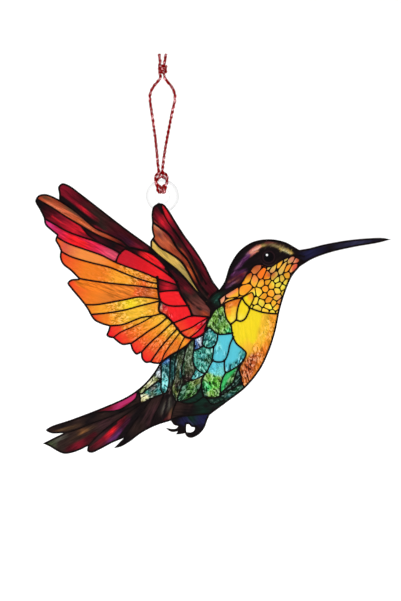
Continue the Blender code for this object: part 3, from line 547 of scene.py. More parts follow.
# A scale is cut from a square by its neighbours, and its corners are cut twice. Smaller ones are left out.
SCALE_SQUARE = ((-6, -6), (6, -6), (6, 6), (-6, 6))
NEIGHBOUR_REACH = 11
CORNER_SHARES = (0.22, 0.78)
SMALLEST_SCALE = 0.3

# The slants of the scales under the eye and, up to CHEEK_END, under the cheek. They turn slim along the
# cheek's line, which has this slope, cosine of its angle, and point on it.
UNDER_EYE = Vector((0.53, 0.85))
UNDER_CHEEK = Vector((0.74, 0.68))
CHEEK_END = 38
CHEEK_SLOPE = 0.916
CHEEK_COSINE = 0.74
CHEEK_POINT = (26.85, -39.66)

# The scales' grain, and how far their shade and their warmth vary
SCALE_GRAIN = (0.8, 0.6)
SHADES = (0.86, 1.12)
WARMTHS = (0.82, 1.12)

# The points that fill the panes, in shares of the grain: how far they stray, how far they keep from the
# lines' own points, and the height of their rows
STRAY = 0.15
CLEAR_OF_LINES = 0.45
ROW_HEIGHT = 0.866

# How softly strokes of colour meet, and how far from a line its darker edge may be marked, in millimetres
SOFTNESS = 0.08
EDGE_REACH = 1.5

# The first numbers of the random draws
PICTURE_SEED = 11
THROAT_SEED = 5

# The hitch, in millimetres: how far the cord's centre line lies from the sheet's middle on its faces, and
# from the hole's centre inside the hole and over the ring
SHEET_THICKNESS = 3.0
CORD_CLEARANCE = 0.25
LOOSE_RADIUS = 0.7
FACE = SHEET_THICKNESS / 2 + CORD_CLEARANCE + LOOSE_RADIUS
INSIDE = HOLE_RADIUS - CORD_CLEARANCE - LOOSE_RADIUS
OVER = RING_RADIUS + CORD_CLEARANCE + LOOSE_RADIUS
HITCH_SIDE = -0.4

# The right half of the hitch, from the crown of its arch down the front of the ring, through the hole, up
# behind and over the ring: across, back in shares of FACE, and up from the hole's centre
HITCH_HALF = [
    (0, -0.52, OVER + 1.75), (1.1, -0.54, OVER + 1.57), (2.0, -0.64, OVER + 1.0), (2.4, -0.8, OVER + 0.15),
    (2.45, -0.96, OVER - 0.65), (2.38, -1.02, OVER - 1.75), (2.15, -1.02, OVER - 2.85),
    (1.85, -1.02, INSIDE + 2.3), (1.7, -1.02, INSIDE + 1.5), (1.56, -1.02, INSIDE + 0.7),
    (1.4, -0.8, INSIDE - 0.12), (0.85, -0.1, INSIDE - 0.25), (0.52, 0.74, INSIDE - 0.1),
    (0.48, 1.02, INSIDE + 0.7), (0.48, 1.02, INSIDE + 1.5), (0.8, 1.02, INSIDE + 2.3),
    (1.9, 1.02, INSIDE + 3.0), (2.3, 1.02, OVER - 1.9), (1.7, 0.98, OVER - 0.7), (0.95, 0.55, OVER + 0.02),
    (0.68, 0, OVER + 0.06), (0.64, -0.5, OVER + 0.04), (0.66, -0.92, OVER + 0.35),
]

# The cord from the hitch to the knot: across, back and up, in millimetres from the hole's centre. Both
# strands share the loop's upper end, mirrored.
LOOP_END = [
    (5.2, -0.05, 40.2), (5.3, 0, 42.2), (4.8, 0, 44.3), (3.8, 0, 46.2), (2.6, 0, 47.7), (1.5, 0, 49),
    (0.87, 0, 50.2), (0.75, 0, 51),
]
LEFT_STRAND = [
    (-1.3, -2.8, 9.2), (-1.52, -2.85, 10.4), (-1.85, -2.45, 13.4), (-2.35, -1.75, 18.5),
    (-3.15, -0.95, 25.2), (-4.25, -0.35, 33.5), *((-x, y, z) for x, y, z in LOOP_END),
]
RIGHT_STRAND = [
    (0.25, -2.8, 9.2), (0.08, -2.85, 10.4), (0.4, -2.45, 13.9), (1.15, -1.75, 19.6), (2.15, -0.95, 25.3),
    (3.85, -0.35, 34), *LOOP_END,
]

# The knot: its foot over the hole's centre, its height, the reach of its windings, and how many there are
KNOT_FOOT = 51.3
KNOT_HEIGHT = 4.62
KNOT_REACH = 1.45
KNOT_TURNS = 3
STEPS_A_TURN = 14

# The twisted cord, in shares of its diameter and its pitch, and the facets round its yarns
PLY_SHARE = 0.52
PLY_SIDES = 9
TINSEL_REACH = 0.44
TINSEL_RADIUS = 0.14
TINSEL_PITCH = 0.55
TINSEL_SIDES = 6

# How far from the hole's centre the sheet's tone varies: painted shade, which draws the ring's faint edges
# and the hole's rim
PAINTED_SHADE_RADIUS = 7.5 * MM

# The studio's card: its width and depth, the height of its backdrop, and the bend between them
CARD_SIZE = (7, 6)
BACKDROP_HEIGHT = 3.2
COVE_WIDTH = 0.6
COVE_SEGMENTS = 24

# The studio's lights: name, place, target, size and power
BIRD_MIDDLE = (0, 0, -0.1)
LIGHTS = [
    ("key_light", (-1.0, -0.9, 0.75), BIRD_MIDDLE, 0.8, 11.8),
    ("fill_light", (1.15, -0.9, 0.45), BIRD_MIDDLE, 0.9, 7.5),
    ("backdrop_light", (0, 0.7, 1.6), (0, 1.9, -0.1), 1.2, 14.5),
    ("back_light", (-0.8, 1.2, 0.9), BIRD_MIDDLE, 0.6, 20),
]


class CordSizes(PropertyGroup):
    """The glitter cord."""

    diameter: FloatProperty(name="Diameter", description="Across the twisted cord", default=1.3 * MM,
                            unit="LENGTH", precision=5)
    plies: IntProperty(name="Plies", description="Yarns twisted together", default=2)
    pitch: FloatProperty(name="Pitch", description="Length of one full twist", default=4.4 * MM,
                         unit="LENGTH", precision=5)
    step: FloatProperty(name="Step", description="Length of a facet along the cord", default=0.22 * MM,
                        unit="LENGTH", precision=5)
    red: FloatVectorProperty(name="Red", description="The yarns' colour", subtype="COLOR_GAMMA",
                             default=(0.64, 0.0, 0.02))
    tinsel: FloatVectorProperty(name="Tinsel", description="The glitter's colour", subtype="COLOR_GAMMA",
                                default=(1.0, 0.72, 0.74))


class PictureSizes(PropertyGroup):
    """The printed picture."""

    ink: FloatProperty(name="Ink", description="Thickness of the printed film", default=0.04 * MM,
                       unit="LENGTH", precision=6)
    gap: FloatProperty(name="Gap", description="Between the film and the sheet", default=0.01 * MM,
                       unit="LENGTH", precision=6)
    grain: FloatProperty(name="Grain", description="Spacing of the points in the panes, in millimetres",
                         default=0.5)
    curve_step: FloatProperty(name="Curve step", description="Facets of the picture's curves, in millimetres",
                              default=0.8)


class StageSizes(PropertyGroup):
    """The studio."""

    floor: FloatProperty(name="Floor", description="Height of the floor", default=-0.32, unit="LENGTH")
    wall: FloatProperty(name="Wall", description="Distance of the backdrop behind the sheet", default=1.9,
                        unit="LENGTH")
    lens: FloatProperty(name="Lens", description="Focal length in millimetres", default=135)
    distance: FloatProperty(name="Distance", description="From the camera to the printed face", default=0.95,
                            unit="LENGTH")
    aim: FloatVectorProperty(name="Aim", description="The middle of the picture", subtype="TRANSLATION",
                             default=(0.01606, 0, -0.09309))


def select_only(piece):
    """Makes a piece the only one selected, and the active one."""
    bpy.ops.object.select_all(action="DESELECT")
    piece.select_set(True)
    bpy.context.view_layer.objects.active = piece


def new_piece(name, data):
    """A new piece with that mesh."""
    piece = bpy.data.objects.new(name, data)
    bpy.context.collection.objects.link(piece)
    return piece


def between(before, start, end, after, share):
    """A point that share of the way from start to end, on a smooth curve through all four."""
    t1 = (start - before).length ** 0.5
    t2 = t1 + (end - start).length ** 0.5
    t3 = t2 + (after - end).length ** 0.5
    t = t1 + (t2 - t1) * share
    first = before.lerp(start, t / t1)
    middle = start.lerp(end, (t - t1) / (t2 - t1))
    last = end.lerp(after, (t - t2) / (t3 - t2))
    return first.lerp(middle, t / t2).lerp(middle.lerp(last, (t - t1) / (t3 - t1)), share)


def smooth(points, step):
    """Points at most a step apart on a smooth curve through the given ones, the last one included."""
    points = [Vector(p) for p in points]
    ends = [2 * points[0] - points[1], *points, 2 * points[-1] - points[-2]]
    line = []
    for before, start, end, after in zip(ends, ends[1:], ends[2:], ends[3:]):
        count = ceil((end - start).length / step)
        line += [between(before, start, end, after, k / count) for k in range(count)]
    return line + [points[-1]]


# Cord and knot

def cord_route():
    """The cord's centre line, from the knot down the left strand, round the hitch and up the right one."""
    half = [Vector((x, y * FACE, z)) for x, y, z in HITCH_HALF]
    shift = Vector((HITCH_SIDE, 0, 0))
    right = [shift + p for p in half] + [Vector(p) for p in RIGHT_STRAND]
    left = [shift + Vector((-x, y, z)) for x, y, z in half[1:]] + [Vector(p) for p in LEFT_STRAND]
    return [HOLE + MM * p for p in left[::-1] + right]


def carried(points):
    """For each point of a line, two directions across it, carried along without twisting."""
    ways = [(b - a).normalized() for a, b in zip([points[0], *points], [*points[1:], points[-1]])]
    across = ways[0].orthogonal().normalized()
    rows = []
    for i, way in enumerate(ways):
        if i:
            across = ways[i - 1].rotation_difference(way) @ across
        across = (across - across.dot(way) * way).normalized()
        rows.append((across, way.cross(across)))
    return rows


def ply_line(route, rows, reach, phase, pitch):
    """The centre line of one ply, which winds round a route."""
    line = []
    run = 0
    for i, (point, (across, side)) in enumerate(zip(route, rows)):
        if i:
            run += (point - route[i - 1]).length
        turn = phase + 2 * pi * run / pitch
        line.append(point + reach * (cos(turn) * across + sin(turn) * side))
    return line


def sweep(shape, line, radius, sides):
    """Adds a closed round tube along a line, with a map of its length and its turn."""
    lay = shape.loops.layers.uv.verify()
    turns = [2 * pi * k / sides for k in range(sides)]
    rings = []
    for point, (across, side) in zip(line, carried(line)):
        rings.append([shape.verts.new(point + radius * (cos(a) * across + sin(a) * side)) for a in turns])
    run = 0
    for low, high, start, end in zip(rings, rings[1:], line, line[1:]):
        step = (end - start).length
        for k in range(sides):
            n = (k + 1) % sides
            face = shape.faces.new((low[k], low[n], high[n], high[k]))
            face.smooth = True
            marks = [(run, k), (run, k + 1), (run + step, k + 1), (run + step, k)]
            for loop, (along, turn) in zip(face.loops, marks):
                loop[lay].uv = (along / MM, 2 * pi * radius * turn / sides / MM)
        run += step
    shape.faces.new(rings[0][::-1])
    shape.faces.new(rings[-1])


def twisted(name, routes, sizes):
    """A piece of twisted cord along each of the routes: its plies, and a thin tinsel in their grooves."""
    shape = bmesh.new()
    ply = PLY_SHARE * sizes.diameter / 2
    reach = sizes.diameter / 2 - ply
    for route in routes:
        rows = carried(route)
        for k in range(sizes.plies):
            line = ply_line(route, rows, reach, 2 * pi * k / sizes.plies, sizes.pitch)
            sweep(shape, line, ply, PLY_SIDES)
    plain_faces = len(shape.faces)
    for route in routes:
        rows = carried(route)
        line = ply_line(route, rows, TINSEL_REACH * sizes.diameter, 0, TINSEL_PITCH * sizes.pitch)
        sweep(shape, line, TINSEL_RADIUS * sizes.diameter, TINSEL_SIDES)
    shape.faces.ensure_lookup_table()
    for face in shape.faces[plain_faces:]:
        face.material_index = 1
    data = bpy.data.meshes.new(name)
    shape.to_mesh(data)
    shape.free()
    return new_piece(name, data)


def knot_routes(radius):
    """The knot's two strands: one straight up its core, and one wound round it."""
    foot = HOLE.z + KNOT_FOOT * MM
    top = foot + KNOT_HEIGHT * MM
    core = [(x * MM, 0, level + z * MM) for x, level, z in (
        (0.75, foot, -0.5), (0.62, foot, 0.6), (0.1, foot, 1.8), (0.3, top, -1.4), (0.74, top, -0.2),
        (1.05, top, 1.6), (1.42, top, 4.1))]
    into = [(-0.75, 0, foot, -0.5), (-1.05, -0.25, foot, 0.15)]
    out_of = [(-0.95, 0.1, top, 0.35), (-1.1, 0, top, 1.8), (-1.42, 0, top, 4.1)]
    wound = [(x * MM, y * MM, level + z * MM) for x, y, level, z in into]
    steps = STEPS_A_TURN * KNOT_TURNS
    reach = KNOT_REACH * MM
    for k in range(steps + 1):
        angle = pi + 0.5 + (2 * pi * KNOT_TURNS - 1) * k / steps
        height = foot + radius + (KNOT_HEIGHT * MM - 2 * radius) * k / steps
        wound.append((reach * cos(angle), reach * sin(angle), height))
    wound += [(x * MM, y * MM, level + z * MM) for x, y, level, z in out_of]
    return core, wound


# The picture's outline, lines and panes

def flat(x, z):
    """A point of the sheet as the picture is drawn: in millimetres from the far wing's tip."""
    return Vector(((x - WING_TIP.x) / MM, (z - WING_TIP.y) / MM))


def sheet_loops():
    """The edges of the sheet's printed face, as closed lines."""
    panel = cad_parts["acrylic_panel"].data
    steps = {}
    for polygon in panel.polygons:
        if polygon.normal.y > -0.99:
            continue
        corners = [panel.vertices[k].co for k in polygon.vertices]
        keys = [(round(p.x * 1e6), round(p.z * 1e6)) for p in corners]
        for start, end in zip(keys, keys[1:] + keys[:1]):
            if start in steps.get(end, ()):
                steps[end].remove(start)
            else:
                steps.setdefault(start, []).append(end)
    loops = []
    steps = {k: v for k, v in steps.items() if v}
    while steps:
        first = next(iter(steps))
        loop = [first]
        while True:
            follow = steps[loop[-1]]
            step = follow.pop()
            if not follow:
                del steps[loop[-1]]
            if step == first:
                break
            loop.append(step)
        loops.append([flat(x * 1e-6, z * 1e-6) for x, z in loop])
    return loops


def area(points):
    """The area inside a closed line, above zero where it runs anticlockwise."""
    return sum(a.x * b.y - a.y * b.x for a, b in zip(points, points[1:] + points[:1])) / 2


def anticlockwise(points):
    """A closed line, turned round where it runs clockwise."""
    return points if area(points) > 0 else points[::-1]


def without_repeats(line):
    """A closed line without points that lie on the one before."""
    return [p for p, before in zip(line, [line[-1], *line]) if (p - before).length > NEAR]


def bird_edges(step):
    """The bird's outline without its ring, and the small opening between its toes."""
    hole = flat(HOLE.x, HOLE.z)
    loops = sorted(sheet_loops(), key=lambda loop: -abs(area(loop)))
    outer = loops[0]
    openings = [loop for loop in loops[1:] if (loop[0] - hole).length > RING_RADIUS]
    on_ring = [abs((p - hole).length - RING_RADIUS) < NEAR for p in outer]
    first = next(i for i in range(len(outer)) if on_ring[i] and not on_ring[i - 1])
    outer = outer[first:] + outer[:first]
    on_ring = on_ring[first:] + on_ring[:first]
    last = max(i for i in range(len(outer)) if on_ring[i])
    kept = [outer[0]] + outer[last:]
    tip = []
    for side in TIP_SIDES:
        tip += [p for p in smooth(side, step) if (p - hole).length < RING_RADIUS - 0.3]
    if (tip[0] - kept[0]).length > (tip[-1] - kept[0]).length:
        tip = tip[::-1]
    return anticlockwise(without_repeats(kept[:1] + tip + kept[1:])), openings


def disc(centre, radius, sides=12):
    """A round cell."""
    turns = [2 * pi * k / sides for k in range(sides)]
    return [Vector((centre[0] + radius * cos(a), centre[1] + radius * sin(a))) for a in turns]


def convex(cell):
    """Whether an anticlockwise cell has no hollow or crossed corner."""
    count = len(cell)
    for k in range(count):
        a, b, c = cell[k - 2], cell[k - 1], cell[k]
        if (b - a).x * (c - b).y - (b - a).y * (c - b).x <= 1e-6:
            return False
    return True


def stretch_cell(start, end, start_half, end_half):
    """The cell of a line's stretch, from half its width across one end to half its width across the other."""
    return [start - start_half, end - end_half, end + end_half, start + start_half]


def ribbon(line, widths, closed=False):
    """Cells that together cover a line of those widths, with a round one at each sharp turn."""
    cells = []
    count = len(line)
    ways = []
    for i in range(count if closed else count - 1):
        ways.append((line[(i + 1) % count] - line[i]).normalized())
    if not closed:
        ways.append(ways[-1])
    across = []
    sharp = []
    for i in range(count):
        before = ways[i - 1] if closed or i else ways[0]
        after = ways[i] if closed or i < count - 1 else ways[-1]
        turned = abs(before.angle_signed(after, 0))
        sharp.append(turned > SHARP_TURN)
        middle = (before + after).normalized() if turned < BACK_TURN else after
        across.append(Vector((-middle.y, middle.x)))
        if sharp[-1] or (not closed and i in (0, count - 1)):
            cells.append(disc(line[i], widths[i] / 2))
    for i in range(count if closed else count - 1):
        j = (i + 1) % count
        own = Vector((-ways[i].y, ways[i].x))
        start = own if sharp[i] else across[i]
        end = own if sharp[j] else across[j]
        cell = stretch_cell(line[i], line[j], start * widths[i] / 2, end * widths[j] / 2)
        if not convex(cell):
            cell = stretch_cell(line[i], line[j], own * widths[i] / 2, own * widths[j] / 2)
            cells += [disc(line[i], widths[i] / 2), disc(line[j], widths[j] / 2)]
        cells.append(cell)
    return cells


def line_widths(line, width):
    """A drawn line's width at each of its points: it spreads a little at its ends, where it meets others."""
    runs = [0]
    for a, b in zip(line, line[1:]):
        runs.append(runs[-1] + (b - a).length)
    near = [min(run, runs[-1] - run) for run in runs]
    return [width * (1 + END_SPREAD * max(0, 1 - d / END_LENGTH) ** 2) for d in near]


def clipped(cell, point, way):
    """The part of a cell that lies behind a point, seen along a way."""
    kept = []
    for a, b in zip(cell, cell[1:] + cell[:1]):
        da = (a - point).dot(way)
        db = (b - point).dot(way)
        if da <= 0:
            kept.append(a)
        if (da < 0) != (db < 0) and da != db:
            kept.append(a.lerp(b, da / (da - db)))
    return kept


def held(value):
    """A value held from 0 to 1."""
    return min(1, max(0, value))


def scale_shape(place):
    """The length and width of the throat's scales at a place, and the way that they point."""
    back = held((47 - place.x) / 13)
    if place.x < CHEEK_END:
        drop = CHEEK_COSINE * (CHEEK_SLOPE * (place.x - CHEEK_POINT[0]) + CHEEK_POINT[1] - place.y)
        slim = held(1 - drop / 3.4)
        return 2.5 + 1.9 * back + 1.6 * slim, 2.2 + 1.9 * back - 1.7 * slim, UNDER_CHEEK
    slim = held((place.y + 30.5) / 5)
    return 2.4 + 1.9 * back + 3.4 * slim, 2.1 + 1.9 * back - (0.75 + 1.2 * back) * slim, UNDER_EYE


def throat_scales(chance):
    """The throat's scales: rounded cells round scattered points, long and slim near the bill's root."""
    sites = []
    for _ in range(SCALE_TRIES):
        place = Vector([chance.uniform(*ends) for ends in TRIED_FIELD])
        length, width, way = scale_shape(place)
        cross = Vector((-way.y, way.x))
        gaps = (other - place for other, _, _ in sites)
        if all(hypot(gap.dot(way) / length, gap.dot(cross) / width) >= SCALE_CLOSENESS for gap in gaps):
            sites.append((place, (length, width), way))
    cells = []
    for place, (length, width), way in sites:
        if not all(low < value < high for value, (low, high) in zip(place, KEPT_FIELD)):
            continue
        cell = [place + Vector(p) for p in SCALE_SQUARE]
        for other, (long2, wide2), way2 in sites:
            gap = other - place
            if other is place or gap.length > NEIGHBOUR_REACH:
                continue
            normal = Vector((0, 0))
            for size, along in (((length, width), way), ((long2, wide2), way2)):
                cross = Vector((-along.y, along.x))
                normal += along * gap.dot(along) / size[0] ** 2 + cross * gap.dot(cross) / size[1] ** 2
            normal.normalize()
            cell = clipped(cell, place + gap / 2 - normal * SCALE_GAP, normal)
            if len(cell) < 3:
                break
        if len(cell) < 3 or abs(area(cell)) < SMALLEST_SCALE:
            continue
        for _ in range(2):
            cell = [a.lerp(b, s) for a, b in zip(cell, cell[1:] + cell[:1]) for s in CORNER_SHARES]
        cells.append(anticlockwise(cell))
    return cells


class Cutting:
    """The picture cut up: its corners, and the triangles of its lines, panes, scales and eye."""

    def __init__(self, sizes):
        chance = random.Random(PICTURE_SEED)
        outline, openings = bird_edges(sizes.curve_step)
        cells = [("bird", outline)] + [("opening", anticlockwise(loop)) for loop in openings]
        for loop in [outline, *openings]:
            cells += [("line", c) for c in ribbon(loop, [BORDER] * len(loop), closed=True)]
        for width, points in LEAD_LINES.values():
            line = smooth(points, sizes.curve_step)
            cells += [("line", c) for c in ribbon(line, line_widths(line, width))]
        cells += [("scale", c) for c in throat_scales(chance)]
        for ring, (centre, radius, _) in enumerate(EYE_RINGS):
            cells.append((f"eye {ring}", disc(centre, radius, 32)))
        corners, faces = [], []
        for _, cell in cells:
            faces.append(list(range(len(corners), len(corners) + len(cell))))
            corners += anticlockwise(cell)
        corners += self.filling(corners, sizes.grain, chance)
        places, _, triangles, _, _, covers = delaunay_2d_cdt(corners, [], faces, 1, 1e-5)
        self.points = np.array([(p.x, p.y) for p in places])
        self.sort(triangles, [[cells[k][0] for k in inside] for inside in covers],
                  [[k for k in inside if cells[k][0] == "scale"] for inside in covers])

    @staticmethod
    def filling(corners, spacing, chance):
        """Scattered points that fill the panes, clear of the lines' own points."""
        tree = KDTree(len(corners))
        for k, p in enumerate(corners):
            tree.insert((p.x, p.y, 0), k)
        tree.balance()
        low = [min(p[k] for p in corners) for k in (0, 1)]
        high = [max(p[k] for p in corners) for k in (0, 1)]
        points = []
        row = 0
        y = low[1]
        while y < high[1]:
            x = low[0] + (row % 2) * spacing / 2
            while x < high[0]:
                p = (x + chance.uniform(-STRAY, STRAY) * spacing, y + chance.uniform(-STRAY, STRAY) * spacing)
                if tree.find((*p, 0))[2] > CLEAR_OF_LINES * spacing:
                    points.append(Vector(p))
                x += spacing
            y += spacing * ROW_HEIGHT
            row += 1
        return points

    def sort(self, triangles, names, scales):
        """Sorts the triangles into lines, eye rings, scales and panes."""
        self.lines, self.eye, self.open = [], {}, []
        self.scale_of = {}
        for corners, inside, scale in zip(triangles, names, scales):
            if "bird" not in inside or "opening" in inside:
                continue
            rings = [int(name[4:]) for name in inside if name.startswith("eye")]
            if rings:
                self.eye.setdefault(max(rings), []).append(corners)
            elif "line" in inside:
                self.lines.append(corners)
            else:
                if scale:
                    self.scale_of[len(self.open)] = scale[0]
                self.open.append(corners)
        self.group()

    def group(self):
        """Numbers the panes: triangles that share an edge are in one pane."""
        pane = list(range(len(self.open)))

        def root(k):
            while pane[k] != k:
                pane[k] = pane[pane[k]]
                k = pane[k]
            return k

        seen = {}
        for k, corners in enumerate(self.open):
            for a, b in zip(corners, corners[1:] + corners[:1]):
                edge = (min(a, b), max(a, b))
                if edge in seen:
                    pane[root(k)] = root(seen[edge])
                else:
                    seen[edge] = k
        self.panes = {}
        for k in range(len(self.open)):
            self.panes.setdefault(root(k), []).append(k)
        self.pane_of = [root(k) for k in range(len(self.open))]
        self.dress()

    def find(self, places):
        """The pane at each place, or None on a line."""
        triangles = np.array(self.open)
        a, b, c = (self.points[triangles[:, k]] for k in range(3))
        found = []
        for x, y in places:
            p = np.array((x, y))
            turn = [(q[:, 0] - o[:, 0]) * (p[1] - o[:, 1]) - (q[:, 1] - o[:, 1]) * (p[0] - o[:, 0])
                    for o, q in ((a, b), (b, c), (c, a))]
            inside = np.nonzero((turn[0] >= 0) & (turn[1] >= 0) & (turn[2] >= 0))[0]
            found.append(self.pane_of[inside[0]] if len(inside) else None)
        return found

    def dress(self):
        """Gives each pane its strokes of colour."""
        self.strokes_of = {}
        for number, (_, _, _, points) in enumerate(STROKES):
            found = [pane for pane in self.find([p[:2] for p in points]) if pane is not None]
            if found:
                pane = max(sorted(set(found)), key=found.count)
                self.strokes_of.setdefault(pane, []).append(number)
        for pane, members in self.panes.items():
            if pane in self.strokes_of:
                continue
            corners = np.array([self.open[k] for k in members]).ravel()
            middle = self.points[corners].mean(axis=0)
            near = min(range(len(STROKES)), key=lambda n: reach_of(STROKES[n][3], middle[None])[0][0])
            self.strokes_of[pane] = [near]


def reach_of(points, places):
    """For each place, how far a stroke's line is, which of its stretches is nearest and how far along."""
    path = np.array([p[:2] for p in points], float)
    best = np.full(len(places), 1e9)
    stretch = np.zeros(len(places), int)
    along = np.zeros(len(places))
    for k, (a, b) in enumerate(zip(path, path[1:])):
        way = b - a
        share = np.clip(((places - a) @ way) / (way @ way), 0, 1)
        gap = np.hypot(*(places - a - share[:, None] * way).T)
        nearer = gap < best
        best = np.where(nearer, gap, best)
        stretch = np.where(nearer, k, stretch)
        along = np.where(nearer, share, along)
    return best, stretch, along


def linear(name):
    """A named colour as the shaders take it."""
    shade = Color([v / 255 for v in COLOURS[name]]).from_srgb_to_scene_linear()
    return np.array(shade)


def blended(strokes, places):
    """The colour and finish at each place, mixed from the strokes round it."""
    total = np.zeros((len(places), 5))
    weight = np.zeros(len(places))
    for number in strokes:
        _, finish, reach, points = STROKES[number]
        gap, stretch, along = reach_of(points, places)
        tones = np.array([(*linear(p[2]), *finish) for p in points])
        tone = tones[stretch] * (1 - along)[:, None] + tones[stretch + 1] * along[:, None]
        pull = 1 / ((gap / reach) ** 2 + SOFTNESS) ** 2
        total += tone * pull[:, None]
        weight += pull
    return total / weight[:, None]


CUT = {}


def picture(sizes):
    """The cut picture, which is worked out once."""
    if not CUT:
        cut = CUT["picture"] = Cutting(sizes)
        tree = KDTree(len(cut.points))
        for k in {k for corners in cut.lines for k in corners}:
            tree.insert((*cut.points[k], 0), k)
        tree.balance()
        CUT["line tree"] = tree
    return CUT["picture"]


def film(name, points, triangles, marks, sizes):
    """A thin closed film of ink on the printed face, with its colours and its grain."""
    front = -SHEET_THICKNESS / 2 * MM - sizes.gap - sizes.ink
    data = bpy.data.meshes.new(name)
    places = [(WING_TIP.x + x * MM, front, WING_TIP.y + z * MM) for x, z in points]
    data.from_pydata(places, [], [list(t) for t in triangles])
    tint = data.attributes.new("tint", "FLOAT_COLOR", "POINT")
    tint.data.foreach_set("color", np.column_stack([marks["tint"], np.ones(len(points))]).ravel())
    for mark in ("edge", "streak", "fleck"):
        layer = data.attributes.new(mark, "FLOAT", "POINT")
        layer.data.foreach_set("value", marks[mark])
    grain = data.uv_layers.new(name="grain")
    corners = np.zeros(len(data.loops), int)
    data.loops.foreach_get("vertex_index", corners)
    grain.data.foreach_set("uv", marks["grain"][corners].ravel())
    piece = new_piece(name, data)
    select_only(piece)
    skin = piece.modifiers.new("ink", "SOLIDIFY")
    skin.thickness = sizes.ink
    skin.offset = -1
    bpy.ops.object.modifier_apply(modifier=skin.name)
    return piece


def gather(groups):
    """Joins several patches of points, triangles and marks into one."""
    points, triangles = [], []
    marks = {key: [] for key in ("tint", "edge", "streak", "fleck", "grain")}
    count = 0
    for patch_points, patch_triangles, patch_marks in groups:
        points.append(patch_points)
        triangles += [[k + count for k in t] for t in patch_triangles]
        count += len(patch_points)
        for key in marks:
            marks[key].append(patch_marks[key])
    return np.vstack(points), triangles, {key: np.concatenate(parts) for key, parts in marks.items()}


def patch(cut, triangles, looks, way):
    """One patch of the picture, with the colour and finish of its points, and its grain along a way."""
    used = sorted({k for corners in triangles for k in corners})
    place = {k: n for n, k in enumerate(used)}
    points = cut.points[used]
    tree = CUT["line tree"]
    edge = np.array([min(EDGE_REACH, tree.find((*p, 0))[2]) for p in points])
    given = looks(points)
    cross = np.array((-way[1], way[0]))
    marks = {"tint": given[:, :3], "edge": edge, "streak": given[:, 3], "fleck": given[:, 4],
             "grain": np.column_stack([points @ way, points @ cross])}
    return points, [[place[k] for k in corners] for corners in triangles], marks


def plain(name, streak=0.0):
    """The look of a patch in one colour."""
    return lambda points: np.tile((*linear(name), streak, 0.0), (len(points), 1))


def pane_patches(cut, area_name):
    """The patches of all panes in one area of the bird."""
    patches = []
    for pane in sorted(cut.panes):
        strokes = cut.strokes_of[pane]
        name, _, _, points = STROKES[strokes[0]]
        if name != area_name:
            continue
        way = np.array(points[-1][:2]) - np.array(points[0][:2])
        way = way / np.hypot(*way)
        triangles = [cut.open[k] for k in cut.panes[pane]]
        patches.append(patch(cut, triangles, lambda p, s=strokes: blended(s, p), way))
    return patches


def throat_patches(cut):
    """The throat's scales, each a little lighter, darker or warmer than the next, and the lines between."""
    chance = random.Random(THROAT_SEED)
    scales, between_scales = {}, []
    strokes = []
    for pane in sorted(cut.panes):
        if STROKES[cut.strokes_of[pane][0]][0] != "throat":
            continue
        strokes = cut.strokes_of[pane]
        for k in cut.panes[pane]:
            if k in cut.scale_of:
                scales.setdefault(cut.scale_of[k], []).append(cut.open[k])
            else:
                between_scales.append(cut.open[k])
    patches = []
    for number in sorted(scales):
        shade = chance.uniform(*SHADES)
        warm = chance.uniform(*WARMTHS)
        tone = np.array((shade, shade * warm, shade * warm ** 2, 1, 1))
        patches.append(patch(cut, scales[number], lambda p, t=tone: np.clip(blended(strokes, p) * t, 0, 1),
                             np.array(SCALE_GRAIN)))
    return patches, between_scales


# Finishes

def link(tree, start, end):
    """Joins two sockets."""
    tree.links.new(end, start)


def node(tree, kind, **values):
    """A new node, with plain values put on its properties."""
    made = tree.nodes.new(kind)
    for key, value in values.items():
        setattr(made, key, value)
    return made


def put(target, values):
    """Puts plain values on a node's inputs."""
    for key, value in values.items():
        target.inputs[key].default_value = value


def place_on(tree):
    """Where a point is on its piece."""
    return node(tree, "ShaderNodeTexCoord").outputs["Object"]


def math_of(tree, operation, first, second):
    """A Math node on two sockets or numbers."""
    made = node(tree, "ShaderNodeMath", operation=operation)
    for socket, value in zip(made.inputs, (first, second)):
        if isinstance(value, (int, float)):
            socket.default_value = value
        else:
            link(tree, value, socket)
    return made.outputs[0]


def ranged(tree, value, low, high, to_low, to_high, kind="LINEAR"):
    """A Map Range node."""
    made = node(tree, "ShaderNodeMapRange", interpolation_type=kind)
    link(tree, value, made.inputs["Value"])
    put(made, {"From Min": low, "From Max": high, "To Min": to_low, "To Max": to_high})
    return made.outputs["Result"]


def ramped(tree, value, stops):
    """A Color Ramp node, with a colour at each stop."""
    made = node(tree, "ShaderNodeValToRGB")
    elements = made.color_ramp.elements
    for k, (position, colour) in enumerate(stops):
        stop = elements[k] if k < 2 else elements.new(position)
        stop.position = position
        stop.color = (*colour, 1)
    link(tree, value, made.inputs["Fac"])
    return made.outputs["Color"]


def vector_of(tree, operation, vector, other=(0, 0, 0)):
    """The outputs of a Vector Math node on a socket and a plain vector."""
    made = node(tree, "ShaderNodeVectorMath", operation=operation)
    link(tree, vector, made.inputs[0])
    made.inputs[1].default_value = other
    return made.outputs


def scaled(tree, colour, share):
    """A colour times a value."""
    made = node(tree, "ShaderNodeVectorMath", operation="SCALE")
    link(tree, colour, made.inputs[0])
    link(tree, share, made.inputs["Scale"])
    return made.outputs["Vector"]


def blend_of(tree, share, first, second):
    """One colour mixed into another."""
    made = node(tree, "ShaderNodeMix", data_type="RGBA")
    for key, source in (("Factor", share), ("A", first), ("B", second)):
        link(tree, source, made.inputs[key])
    return made.outputs["Result"]


def noise(tree, vector, scale, detail=3.0, roughness=0.55, distortion=0.0):
    """A Noise Texture node, read at a vector."""
    made = node(tree, "ShaderNodeTexNoise")
    put(made, {"Detail": detail, "Roughness": roughness, "Distortion": distortion})
    if isinstance(scale, (int, float)):
        put(made, {"Scale": scale})
    else:
        link(tree, scale, made.inputs["Scale"])
    link(tree, vector, made.inputs["Vector"])
    return made.outputs["Fac"]


